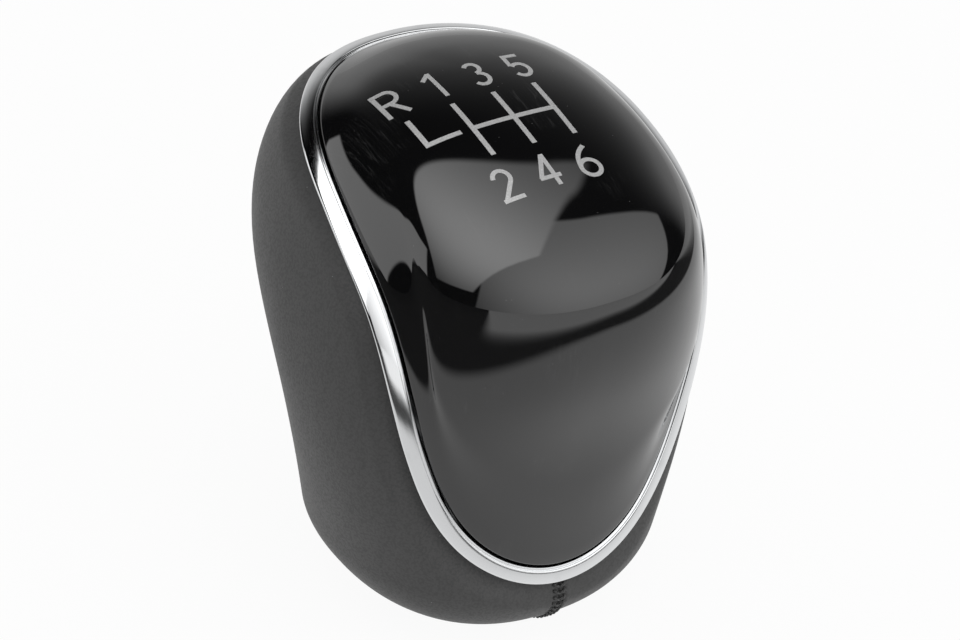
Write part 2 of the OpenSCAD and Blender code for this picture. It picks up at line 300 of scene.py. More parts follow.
@dataclass(frozen=True)
class GlossBlack(Finish):
    """High gloss black moulding with a little dust and fine hairline scratches."""

    name: str = "gloss_black"
    roughness: float = 0.02
    specular: float = 1.0
    colour: Colour = (0.0045, 0.0045, 0.0048)
    dust: Colour = (0.10, 0.10, 0.10)
    scratch_turns: tuple[float, ...] = (28.0, 61.0, -24.0)
    scratch_shown: float = 0.16
    speck_spacing: float = 1.1
    haze_size: float = 14.0

    def paint(self, board: NodeBoard) -> dict[str, Value]:
        """Draw dust specks, hairlines and a faint haze.

        Args:
            board: The material's nodes.

        Returns:
            The value for each varying socket.
        """
        lines = [self._hairlines(board, turn) for turn in self.scratch_turns]
        scratched = board.math("MAXIMUM", board.math("MAXIMUM", lines[0], lines[1]), lines[2])
        speck = board.cells(self.speck_spacing).between(0.075, 0.045)
        kept = board.noise(3.1, 1.0).between(0.60, 0.66)
        marked = board.math("MAXIMUM", speck * kept, scratched * self.scratch_shown)
        haze = board.noise(self.haze_size, 4.0, 0.6)
        return {
            "Base Color": board.mix(marked, self.colour, self.dust),
            "Roughness": self.roughness + 0.03 * haze + 0.16 * marked,
            "Normal": board.bump(board.noise(9.0, 1.0), 0.002),
        }

    def _hairlines(self, board: NodeBoard, turn: float) -> Value:
        """Long thin lines that run one way, kept only here and there.

        Args:
            board: The material's nodes.
            turn: Direction of the lines in degrees.

        Returns:
            1 on a line, 0 off it.
        """
        streaks = board.noise(1000.0, 2.0, 0.7, board.mapped(turn, (700.0, 30.0, 30.0)))
        line = board.math("ABSOLUTE", streaks - 0.5).between(0.007, 0.001)
        return line * board.noise(9.0, 1.0).between(0.54, 0.66)


@dataclass(frozen=True)
class BrightPlating(Finish):
    """Bright chrome plating with the fine rubbing of use."""

    name: str = "bright_plating"
    roughness: float = 0.05
    metallic: float = 1.0
    colour: Colour = (0.87, 0.88, 0.89)
    rubbed: Colour = (0.74, 0.75, 0.76)

    def paint(self, board: NodeBoard) -> dict[str, Value]:
        """Vary the gloss, and dull it where hands rub it.

        Args:
            board: The material's nodes.

        Returns:
            The value for each varying socket.
        """
        cloud = board.noise(6.0, 3.0, 0.6)
        fine = board.noise(0.25, 2.0)
        return {
            "Base Color": board.mix(cloud.between(0.55, 0.85), self.colour, self.rubbed),
            "Roughness": self.roughness + 0.08 * cloud + 0.03 * fine,
            "Normal": board.bump(fine, 0.0015),
        }


@dataclass(frozen=True)
class GrainedLeather(Finish):
    """Fine grained dark leather, with shade painted into its colour beside the ring, where it is drawn in,
    and in its seam's crease.

    The mesh says in an attribute how much of that painted shade each point gets.
    """

    name: str = "grained_leather"
    roughness: float = 0.44
    specular: float = 0.42
    sheen: float = 0.04
    colour: Colour = grey(70)
    # colour of the grain's valleys, and also of the painted shade beside the ring and in the seam's crease
    valley_and_shade: Colour = grey(44)
    lint: Colour = grey(165)
    grain_size: float = 0.36
    grain_depth: float = 0.028
    warp_size: float = 1.0
    warp: float = 0.3
    crease_size: float = 2.6
    wear_size: float = 11.0
    lint_spacing: float = 1.7

    def paint(self, board: NodeBoard) -> dict[str, Value]:
        """Build pebbles of grain in two sizes, soft creases and upright streaks, painted shade beside the
        ring and in the seam, and a few specks of lint.

        Args:
            board: The material's nodes.

        Returns:
            The value for each varying socket.
        """
        warp = board.out(board.node("ShaderNodeVectorMath", {"operation": "MULTIPLY_ADD"}, {
            0: board.out(board.node("ShaderNodeTexNoise", None, {
                "Vector": board.place(), "Scale": 1 / (self.warp_size * MM), "Detail": 2.0}), "Color"),
            1: (self.warp * MM,) * 3, 2: board.place()}))
        pebble = board.cells(self.grain_size, "SMOOTH_F1", at=warp)
        small = board.cells(self.grain_size * 0.45, at=warp)
        crease = board.noise(self.crease_size, 3.0, 0.55, warp)
        streak = board.noise(1000.0, 3.0, 0.6, board.mapped(0.0, (650.0, 650.0, 110.0)))
        height = (1 - pebble) * 0.6 + (1 - small) * 0.2 + crease * 0.7 + streak * 1.2
        low = pebble.between(0.30, 0.62) * 0.55 + small.between(0.4, 0.8) * 0.2
        worn = board.noise(self.wear_size, 3.0, 0.6)
        # painted shade: the mesh's attribute darkens the leather beside the ring and in the seam's crease,
        # where shade falls
        painted_shade = board.attribute("painted_shade")
        shade = board.math("MINIMUM", low * 0.42 + streak.between(0.4, 0.75) * 0.12 + painted_shade * 0.8, 1.0)
        leather = board.mix(shade, self.colour, self.valley_and_shade)
        kept = board.noise(4.3, 1.0).between(0.56, 0.62)
        speck = board.cells(self.lint_spacing).between(0.052, 0.028) * kept
        return {
            "Base Color": board.mix(speck * 0.8, leather, self.lint),
            "Roughness": self.roughness + 0.16 * low + 0.12 * worn,
            "Normal": board.bump(height, self.grain_depth, 0.8),
        }


@dataclass(frozen=True)
class TwistedThread(Finish):
    """Matt polyester thread with a fine fibre."""

    name: str = "twisted_thread"
    roughness: float = 0.7
    sheen: float = 0.2
    colour: Colour = grey(76)
    shade: Colour = grey(56)

    def paint(self, board: NodeBoard) -> dict[str, Value]:
        """Draw the fibres as fine streaks.

        Args:
            board: The material's nodes.

        Returns:
            The value for each varying socket.
        """
        fibre = board.noise(0.12, 2.0, 0.6)
        return {
            "Base Color": board.mix(fibre, self.shade, self.colour),
            "Normal": board.bump(fibre, 0.02),
        }


@dataclass(frozen=True)
class PrintedInk(Finish):
    """Light silver print with a fine grain."""

    name: str = "printed_ink"
    roughness: float = 0.26
    metallic: float = 0.35
    colour: Colour = grey(206)
    grain: Colour = grey(176)

    def paint(self, board: NodeBoard) -> dict[str, Value]:
        """Speckle the print as the screen leaves it.

        Args:
            board: The material's nodes.

        Returns:
            The value for each varying socket.
        """
        speckle = board.noise(0.16, 2.0, 0.7)
        return {
            "Base Color": board.mix(speckle.between(0.35, 0.7), self.grain, self.colour),
            "Roughness": self.roughness + 0.2 * speckle,
            "Normal": board.bump(speckle, 0.004),
        }


@dataclass(frozen=True)
class MattMoulding(Finish):
    """Fine spark eroded texture of a black moulding."""

    name: str = "matt_moulding"
    roughness: float = 0.42
    colour: Colour = grey(48)
    worn: Colour = grey(62)

    def paint(self, board: NodeBoard) -> dict[str, Value]:
        """Texture the surface with fine noise.

        Args:
            board: The material's nodes.

        Returns:
            The value for each varying socket.
        """
        texture = board.noise(0.22, 3.0, 0.6)
        return {
            "Base Color": board.mix(board.noise(8.0, 3.0), self.colour, self.worn),
            "Roughness": self.roughness + 0.2 * texture,
            "Normal": board.bump(texture, 0.012),
        }


@dataclass(frozen=True)
class BushRubber(Finish):
    """Soft black rubber with a dull bloom."""

    name: str = "bush_rubber"
    roughness: float = 0.66
    colour: Colour = grey(34)
    bloom: Colour = grey(50)

    def paint(self, board: NodeBoard) -> dict[str, Value]:
        """Cloud the surface with bloom.

        Args:
            board: The material's nodes.

        Returns:
            The value for each varying socket.
        """
        cloud = board.noise(2.2, 4.0, 0.65)
        return {
            "Base Color": board.mix(cloud, self.colour, self.bloom),
            "Roughness": self.roughness + 0.2 * cloud,
            "Normal": board.bump(board.noise(0.4, 2.0), 0.01),
        }


@dataclass(frozen=True)
class TurnedMetal(Finish):
    """Metal turned about the lever's axis, with fine tool marks along its height."""

    metallic: float = 1.0
    roughness: float = 0.22
    colour: Colour = (0.72, 0.54, 0.26)
    dull: Colour = (0.52, 0.38, 0.18)
    mark: float = 0.09

    def paint(self, board: NodeBoard) -> dict[str, Value]:
        """Draw tool marks that run round, and a little tarnish.

        Args:
            board: The material's nodes.

        Returns:
            The value for each varying socket.
        """
        marks = board.noise(1000.0, 2.0, 0.6, board.mapped(0.0, (40.0, 40.0, 1 / (self.mark * MM))))
        tarnish = board.noise(3.0, 4.0, 0.6)
        return {
            "Base Color": board.mix(tarnish.between(0.45, 0.75), self.colour, self.dull),
            "Roughness": self.roughness + 0.16 * marks + 0.12 * tarnish,
            "Normal": board.bump(marks, 0.006),
        }


@dataclass(frozen=True)
class PaleFloor(Finish):
    """Pale paper under the object, near white to the camera but with the object's shadow kept.

    Its lit parts, as the cap mirrors them, are a round part at the foot, one in front and one behind. Each
    reach is the distance, in metres, at which a part starts and the one at which it is full.
    """

    name: str = "pale_floor"
    roughness: float = 0.9
    colour: Colour = (0.86, 0.86, 0.86)
    fibre: Colour = (0.88, 0.88, 0.88)
    fibre_size: float = 1.5
    lift_seen: float = 0.94
    lift_mirrored: float = 0.93
    foot_middle: tuple[float, float, float] = (0.03, 0.07, 0.0)
    foot_reach: tuple[float, float] = (0.192, 0.173)
    foot_brighter: tuple[float, float] = (0.16, 0.08)
    front_way: tuple[float, float, float] = (-0.25, -1.0, 0.0)
    front_reach: tuple[float, float] = (0.13, 0.21)
    right_way: tuple[float, float, float] = (1.0, -1.45, 0.0)
    right_reach: tuple[float, float] = (0.0, 0.06)
    back_way: tuple[float, float, float] = (0.3, 1.0, 0.0)
    back_reach: tuple[float, float] = (0.06, 0.2)

    def material(self) -> bpy.types.Material:
        """Mix plain paper with its own light, more for what sees it straight or in a mirror.

        Returns:
            The floor's material.
        """
        made = bpy.data.materials.new(self.name)
        made.use_nodes = True
        board = NodeBoard(made.node_tree)
        rays = board.node("ShaderNodeLightPath")
        paper = board.node("ShaderNodeBsdfPrincipled", None, {
            "Base Color": board.mix(board.noise(self.fibre_size, 2.0), self.colour, self.fibre),
            "Roughness": self.roughness})
        bright = board.math("MAXIMUM", board.out(rays, "Is Camera Ray"), self._mirrored(board))
        light = board.node("ShaderNodeEmission", None, {"Color": board.mix(bright, (0, 0, 0), (1, 1, 1))})
        mirrored = board.math("MAXIMUM", board.out(rays, "Is Glossy Ray"),
                              board.out(rays, "Is Transmission Ray"))
        share = board.out(rays, "Is Camera Ray") * self.lift_seen + mirrored * self.lift_mirrored
        mixed = board.node("ShaderNodeMixShader", None, {
            0: share, 1: board.out(paper), 2: board.out(light)})
        board.node("ShaderNodeOutputMaterial", None, {"Surface": board.out(mixed)})
        return made

    def _mirrored(self, board: NodeBoard) -> Value:
        """Work out how bright the floor is to a mirror: lit at the foot, in front and behind.

        Args:
            board: The material's nodes.

        Returns:
            The brightness, from 0 to 1.
        """
        place = board.place()
        from_foot = board.out(board.node("ShaderNodeVectorMath", {"operation": "DISTANCE"}, {
            0: place, 1: self.foot_middle}), "Value")
        foot = from_foot.between(*self.foot_reach) * (0.66 + 0.2 * from_foot.between(*self.foot_brighter))
        front = board.along(place, self.front_way).between(*self.front_reach) * 0.95
        right = board.along(place, self.right_way).between(*self.right_reach)
        behind = board.along(place, self.back_way).between(*self.back_reach) * 0.7
        return board.math("MAXIMUM", board.math("MAXIMUM", foot, front * right), behind)


# Mesh helpers

def lofted(name: str, rows: np.ndarray, closed: bool = False,
           start: np.ndarray | None = None, end: np.ndarray | None = None) -> bpy.types.Object:
    """Join rows of points, each a closed loop, into a smooth mesh.

    Args:
        name: Name of the object and its mesh.
        rows: Points in millimetres, as rows by points by three.
        closed: Whether the last row joins the first, as on a ring.
        start: A pole that closes the first row.
        end: A pole that closes the last row.

    Returns:
        The object, with its faces turned outward.
    """
    count, around = rows.shape[:2]
    points = [rows.reshape(-1, 3)]
    here = np.arange(around)
    ahead = np.roll(here, -1)
    faces: list[tuple[int, ...]] = []
    for row in range(count if closed else count - 1):
        low, high = row * around, (row + 1) % count * around
        faces.extend(zip(low + here, low + ahead, high + ahead, high + here))
    for pole, first in ((start, 0), (end, (count - 1) * around)):
        if pole is not None:
            tip = sum(len(block) for block in points)
            points.append(np.asarray(pole, float).reshape(1, 3))
            faces.extend((tip, first + a, first + b) for a, b in zip(here, ahead))
    return meshed(name, np.concatenate(points), faces)


def meshed(name: str, points: np.ndarray, faces: list[tuple[int, ...]],
           sharp: float = 40.0) -> bpy.types.Object:
    """Make an object from points in millimetres and faces.

    Args:
        name: Name of the object and its mesh.
        points: The points, in millimetres.
        faces: Point numbers of each face.
        sharp: Angle between faces, in degrees, past which an edge shades sharp.

    Returns:
        The linked object, with its faces turned outward.
    """
    mesh = bpy.data.meshes.new(name)
    mesh.from_pydata((points * MM).tolist(), [], [tuple(int(i) for i in face) for face in faces])
    work = bmesh.new()
    work.from_mesh(mesh)
    bmesh.ops.recalc_face_normals(work, faces=work.faces)
    work.to_mesh(mesh)
    work.free()
    mesh.polygons.foreach_set("use_smooth", [True] * len(mesh.polygons))
    mesh.set_sharp_from_angle(angle=math.radians(sharp))
    piece = bpy.data.objects.new(name, mesh)
    bpy.context.scene.collection.objects.link(piece)
    return piece


def joined(name: str, pieces: list[bpy.types.Object]) -> bpy.types.Object:
    """Put several meshes into one object, each still a closed shell of its own.

    Args:
        name: Name of the joined object.
        pieces: Objects whose meshes are joined and which are then removed.

    Returns:
        The joined object.
    """
    work = bmesh.new()
    for piece in pieces:
        piece.data.transform(piece.matrix_world)
        work.from_mesh(piece.data)
        bpy.data.objects.remove(piece)
    mesh = bpy.data.meshes.new(name)
    work.to_mesh(mesh)
    work.free()
    whole = bpy.data.objects.new(name, mesh)
    bpy.context.scene.collection.objects.link(whole)
    return whole


class Cut(Enum):
    """What a boolean does with the second mesh."""

    JOIN = "UNION"
    TAKE_AWAY = "DIFFERENCE"


def combined(base: bpy.types.Object, others: list[bpy.types.Object], cut: Cut) -> bpy.types.Object:
    """Apply boolean operations to a mesh and keep the result in it.

    Args:
        base: The object that is changed.
        others: The objects that are joined to it or cut from it, and then removed.
        cut: Whether they are joined or taken away.

    Returns:
        The base object with its new mesh.
    """
    for other in others:
        step = base.modifiers.new("cut", "BOOLEAN")
        step.operation = cut.value
        step.solver = "EXACT"
        step.object = other
    graph = bpy.context.evaluated_depsgraph_get()
    mesh = bpy.data.meshes.new_from_object(base.evaluated_get(graph))
    base.modifiers.clear()
    mesh.name = base.name
    base.data = mesh
    for other in others:
        bpy.data.objects.remove(other)
    return base


def rounded(corners: list[tuple[float, float, float]], steps: int = 5) -> np.ndarray:
    """Round the corners of a flat outline.

    Args:
        corners: Two coordinates and a radius for each corner, in order.
        steps: Points on each round.

    Returns:
        The outline's points.
    """
    points: list[np.ndarray] = []
    for index, (x, y, radius) in enumerate(corners):
        corner = np.array([x, y])
        if radius <= 0:
            points.append(corner)
            continue
        before = np.array(corners[index - 1][:2]) - corner
        after = np.array(corners[(index + 1) % len(corners)][:2]) - corner
        before /= np.linalg.norm(before)
        after /= np.linalg.norm(after)
        turn = math.acos(float(np.clip(before @ after, -1, 1)))
        reach = radius / math.tan(turn / 2)
        middle = corner + (before + after) / np.linalg.norm(before + after) * radius / math.sin(turn / 2)
        first, last = corner + before * reach - middle, corner + after * reach - middle
        sweep = math.pi - turn
        for share in np.linspace(0, 1, steps):
            points.append(middle + (math.sin((1 - share) * sweep) * first
                                    + math.sin(share * sweep) * last) / math.sin(sweep))
    return np.array(points)


def tube(name: str, path: np.ndarray, radius: float, around: int) -> bpy.types.Object:
    """Sweep a circle along a path and close its ends.

    Args:
        name: Name of the object.
        path: Points of the path, in millimetres.
        radius: Radius of the tube.
        around: Points round the tube.

    Returns:
        The tube.
    """
    ahead = np.gradient(path, axis=0)
    ahead /= np.linalg.norm(ahead, axis=1)[:, None]
    side = np.cross(ahead, ASKEW)
    side /= np.linalg.norm(side, axis=1)[:, None]
    up = np.cross(side, ahead)
    angles = np.arange(around) * 2 * np.pi / around
    rows = (path[:, None] + radius * (np.cos(angles)[None, :, None] * side[:, None]
                                      + np.sin(angles)[None, :, None] * up[:, None]))
    return lofted(name, rows, start=path[0], end=path[-1])


def dressed(piece: bpy.types.Object, finish: Finish) -> bpy.types.Object:
    """Give a piece one finish all over.

    Args:
        piece: The piece.
        finish: Its finish.

    Returns:
        The same piece.
    """
    piece.data.materials.clear()
    piece.data.materials.append(finish.material())
    return piece


def seated(piece: bpy.types.Object, slot: str, *nodes: str) -> None:
    """Fix a finished piece to the body, hide the frame's nodes that it replaces and say what it stands for.

    Args:
        piece: The piece, in place.
        slot: The record's material slot. Not used.
        nodes: The frame's nodes that the piece replaces.
    """
    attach(piece, BODY)
    if nodes:
        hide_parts(*nodes)
    log.info("%s: %d faces, stands for %s", piece.name, len(piece.data.polygons), nodes or "no node")


# Body form and ring line

def weight(x: np.ndarray) -> np.ndarray:
    """Cubic B-spline weight of a guide value x steps away."""
    a = np.abs(x)
    return np.where(a < 1, 2 / 3 - a * a + a ** 3 / 2, np.where(a < 2, (2 - a) ** 3 / 6, 0.0))


def spline(guides: list[float], x: np.ndarray) -> np.ndarray:
    """Smooth curve through a list of guide values, the second of which stands at 0.

    Args:
        guides: The guide values, one step apart.
        x: Where the curve is read, in steps.

    Returns:
        The curve's values.
    """
    return sum(value * weight(np.asarray(x) - (index - 1)) for index, value in enumerate(guides))


def blended(first: np.ndarray, control: np.ndarray, last: np.ndarray, share: np.ndarray) -> np.ndarray:
    """Places along a quadratic curve with one control place."""
    return first * (1 - share) ** 2 + control * 2 * share * (1 - share) + last * share ** 2


def unit(vectors: np.ndarray) -> np.ndarray:
    """Vectors scaled to length 1."""
    return vectors / np.linalg.norm(vectors, axis=-1)[..., None]


@dataclass(frozen=True)
class BodyForm:
    """The lofted form that the leather, the ring and the cap all follow.

    A place on it is a level, from 0 at the base to 1 at the crown, and a direction round the section.
    """

    height: float = 80.0
    crown_y: float = 11.8
    sides: tuple[float, ...] = (23.5, 28.5, 32, 31.5, 29, 25.5, 22, 15.5)
    fronts: tuple[float, ...] = (37, 37.5, 37.5, 42, 43.5, 43, 31.5, 13)
    backs: tuple[float, ...] = (14, 11.5, 14, 32, 34, 29.5, 19.5, 13)
    front_square: float = 2.3
    back_square: float = 2.2
    foot_r: float = 11.5
    tiny: float = 0.001
    upper_from: float = 0.35
    halvings: int = 40

    def level(self, z: np.ndarray) -> np.ndarray:
        """Level of a height."""
        return 1 - np.sqrt(1 - np.minimum(z, self.height) / self.height)

    def _reach(self, stations: tuple[float, ...], level: np.ndarray) -> np.ndarray:
        """Reach of the form on one side, which closes to nothing at the crown."""
        guides = [2 * stations[0] - stations[1], *stations, 0, -stations[-1], -stations[-2]]
        return spline(guides, level * len(stations))

    def section(self, level: np.ndarray) -> tuple[np.ndarray, np.ndarray, np.ndarray, np.ndarray]:
        """The section at a level.

        Args:
            level: The level.

        Returns:
            Half width, half depth, the centre's place along Y, and the height.
        """
        z = self.height * (1 - (1 - level) ** 2)
        x = np.maximum(0, 1 - np.maximum(z, 0) / self.foot_r)
        cut = self.foot_r * (1 - np.sqrt(1 - x * x))
        near = self.crown_y - self._reach(self.fronts, level) + cut
        far = self.crown_y + self._reach(self.backs, level) - cut
        return self._reach(self.sides, level) - cut, (far - near) / 2, (near + far) / 2, z

    def point(self, place: np.ndarray) -> np.ndarray:
        """Find the form's point at a place.

        Args:
            place: Level and direction, along the last axis.

        Returns:
            The point, in millimetres.
        """
        half_w, half_d, middle, z = self.section(place[..., 0])
        angle = np.radians(place[..., 1])
        cos, sin = np.cos(angle), np.sin(angle)
        power = np.where(sin < 0, self.front_square, self.back_square)
        r = ((np.abs(cos) / half_w) ** power + (np.abs(sin) / half_d) ** power) ** (-1 / power)
        return np.stack([r * cos, middle + r * sin, z], -1)

    def up_slope(self, place: np.ndarray) -> np.ndarray:
        """Change of the form's point with level."""
        step = np.array([self.tiny, 0])
        return (self.point(place + step) - self.point(place - step)) / (2 * self.tiny)

    def round_slope(self, place: np.ndarray) -> np.ndarray:
        """Change of the form's point with a degree of direction."""
        step = np.array([0, 0.5])
        return self.point(place + step) - self.point(place - step)

    def outward(self, place: np.ndarray) -> np.ndarray:
        """The form's outward normal at a place."""
        return unit(np.cross(self.round_slope(place), self.up_slope(place)))

    def off(self, place: np.ndarray, proud: np.ndarray | float) -> np.ndarray:
        """The point that stands proud of the form at a place."""
        return self.point(place) + np.asarray(proud)[..., None] * self.outward(place)

    def crown_height(self, x: np.ndarray, y: np.ndarray) -> np.ndarray:
        """Height of the form's upper face over a point of the plan.

        Args:
            x: Distance from the mirror plane.
            y: Distance behind the lever's axis.

        Returns:
            The height over the base.
        """
        low, high = np.full(np.shape(x), self.upper_from), np.ones(np.shape(x))
        for _ in range(self.halvings):
            level = (low + high) / 2
            half_w, half_d, middle, _z = self.section(level)
            power = np.where(y < middle, self.front_square, self.back_square)
            inside = (np.abs(x) / half_w) ** power + (np.abs(y - middle) / half_d) ** power < 1
            low, high = np.where(inside, level, low), np.where(inside, high, level)
        return self.height * (1 - (1 - (low + high) / 2) ** 2)


@dataclass(frozen=True)
class RingLine:
    """The line of the trim ring's outer edge, mirrored at the driver's side and at the back.

    A station is a share of the way round, from 0 at the back over the left side to 0.5 at the driver's side.
    """

    form: BodyForm = BodyForm()
    directions: tuple[float, ...] = (-90, -66, -48, -38.5, -36, -37, -31, -13.5, 9, 31.5, 51.5, 71, 90)
    heights: tuple[float, ...] = (13.1, 16.9, 25, 36.3, 48.8, 61.3, 73.1, 80, 84.4, 86.9, 88.8, 89.4, 90)
    aside: float = 0.0045
    lead_in: float = 8.0
    crown_level: float = 0.99

    def place(self, station: np.ndarray) -> np.ndarray:
        """Find the place of the ring's line at a station.

        Args:
            station: The stations.

        Returns:
            Level and direction, along the last axis.
        """
        d, h = self.directions, self.heights
        step = (len(d) - 1) * np.abs(1 - 2 * station)
        turn = spline([-180 - d[1], *d, 180 - d[-2], 180 - d[-3]], step)
        rise = spline([h[1], *h, h[-2], h[-3]], step)
        level = self.form.level(self.form.height * rise / 100)
        return np.stack([level, np.where(station < 0.5, 180 - turn, 360 + turn)], -1)

    def inward(self, station: np.ndarray) -> np.ndarray:
        """Find the step of place for 1 mm on the form, square to the ring and towards the cap.

        Args:
            station: The stations.

        Returns:
            Change of level and of direction, along the last axis.
        """
        form, place = self.form, self.place(station)
        before, after = self.place(station - self.aside), self.place(station + self.aside)
        along = unit(form.point(after) - form.point(before))
        up, turn = form.up_slope(place), form.round_slope(place)
        d = np.cross(form.outward(place), along)
        m = np.cross(turn, up)
        steps = [(np.cross(turn, d) * m).sum(-1), (np.cross(d, up) * m).sum(-1)]
        return np.stack(steps, -1) / (m * m).sum(-1)[..., None]

    def edge(self, station: np.ndarray, inset: float) -> np.ndarray:
        """Place so many millimetres inside the ring's outer edge."""
        return self.place(station) + inset * self.inward(station)

    def spread(self, station: np.ndarray) -> np.ndarray:
        """Direction that a station's row of points ends at."""
        return 90 + 360 * station

    def to_base(self, station: np.ndarray, outset: float, level: float, share: float) -> np.ndarray:
        """Find a place on the way from outside the ring to the turned edge at the base.

        Args:
            station: The stations.
            outset: Distance outside the ring's line at which the way starts.
            level: Level of the turned edge.
            share: Share of the way.

        Returns:
            The place at each station.
        """
        first = self.edge(station, -outset)
        control = self.edge(station, -outset - self.lead_in)
        control[:, 0] = np.maximum(control[:, 0], (first[:, 0] + level) / 2)
        last = np.stack([np.full(station.shape, level), self.spread(station)], -1)
        return blended(first, control, last, np.array(share))


# Pieces of the knob

@dataclass(frozen=True)
class RingSeat:
    """How far across and how proud of the form the ring's two edges lie, from the driver's side to the back.

    Low on the front the ring lies almost along the form, and round the crown it stands up as a rim.
    """

    line: RingLine = RingLine()
    outer_across: tuple[float, ...] = (0.4, 0.5, 0.4, 0.3, 0.35, 0.5, 0.9, 1.3, 1.4, 1.6, 1.7, 1.4, 1.0)
    outer_rise: tuple[float, ...] = (0, 0, -0.1, 0.05, 0.1, 0.8, 1.6, 2.1, 2.1, 1.6, 1.0, 0.6, 0.4)
    inner_across: tuple[float, ...] = (3.25, 3.15, 3.15, 2.9, 2.85, 3.2, 3.3, 3.25, 3.4, 3.9, 4.4, 4.2, 3.6)
    inner_rise: tuple[float, ...] = (-0.5, -0.55, -0.8, -1.05, -1.0, -0.4, 0.0, 0.05, 0.2, -0.1, -0.3,
                                     -0.5, -0.5)

    def _read(self, guides: tuple[float, ...], station: np.ndarray) -> np.ndarray:
        """A guide list's value at a station."""
        step = (len(guides) - 1) * np.abs(1 - 2 * station)
        return spline([guides[1], *guides, guides[-2], guides[-3]], step)

    def edges(self, station: np.ndarray) -> tuple[np.ndarray, np.ndarray]:
        """The ring's outer and inner edges.

        Args:
            station: The stations.

        Returns:
            Millimetres across and proud of the form for the outer edge, and for the inner edge.
        """
        across_and_rise = ((self.outer_across, self.outer_rise), (self.inner_across, self.inner_rise))
        outer, inner = (np.stack([self._read(guides, station) for guides in pair], -1)
                        for pair in across_and_rise)
        return outer, inner

    def at(self, station: np.ndarray, across: np.ndarray, proud: np.ndarray) -> np.ndarray:
        """Points so far across from the ring's line and proud of the form."""
        place = self.line.place(station) + across[:, None] * self.line.inward(station)
        return self.line.form.off(place, proud)


@dataclass
class TrimRing:
    """The bright ring between the leather and the cap."""

    seat: RingSeat
    foot: float = -1.9
    bow: float = 0.12
    lip_w: float = 0.52
    lip_drop: float = 0.3
    bead_w: float = 0.2
    outer_r: float = 0.4
    leather_side: float = 0.1
    flare: float = 0.6
    flare_drop: float = 0.8
    stations: int = 420

    def build(self) -> bpy.types.Object:
        """Sweep the ring's section, which is drawn across its tilted face.

        Returns:
            The finished ring.
        """
        station = np.arange(self.stations) / self.stations
        outer, inner = self.seat.edges(station)
        rows = []
        for share, lift in self._face(float(np.linalg.norm(inner - outer, axis=-1).mean())):
            across = inner - outer
            normal = unit(np.stack([-across[:, 1], across[:, 0]], -1))
            place = outer + share * across + lift * normal
            rows.append(self.seat.at(station, place[:, 0], place[:, 1]))
        foot = np.full(self.stations, self.foot)
        rows.append(self.seat.at(station, inner[:, 0], foot))
        rows.append(self.seat.at(station, np.minimum(self.leather_side, outer[:, 0]), foot))
        rows.append(self.seat.at(station, outer[:, 0] * self.flare, outer[:, 1] - self.flare_drop))
        return dressed(lofted("trim_ring", np.array(rows), closed=True), BrightPlating())

    def _face(self, width: float) -> np.ndarray:
        """The section of the face: share of the way across, and height over it.

        Args:
            width: Width of the face.

        Returns:
            The section's points, from its outer edge to its inner edge.
        """
        lip = width - self.lip_w
        outline = rounded([
            (0.0, -0.4, 0), (0.0, 0.0, self.outer_r), (lip / 2, self.bow, 6.0), (lip, 0.0, 0.12),
            (lip + 0.05, -self.lip_drop, 0.05), (width - self.bead_w, -self.lip_drop, 0.06),
            (width - self.bead_w / 2, -0.12, 0.07), (width, -self.lip_drop, 0.05), (width, -0.7, 0)], 4)
        return outline / np.array([width, 1.0])


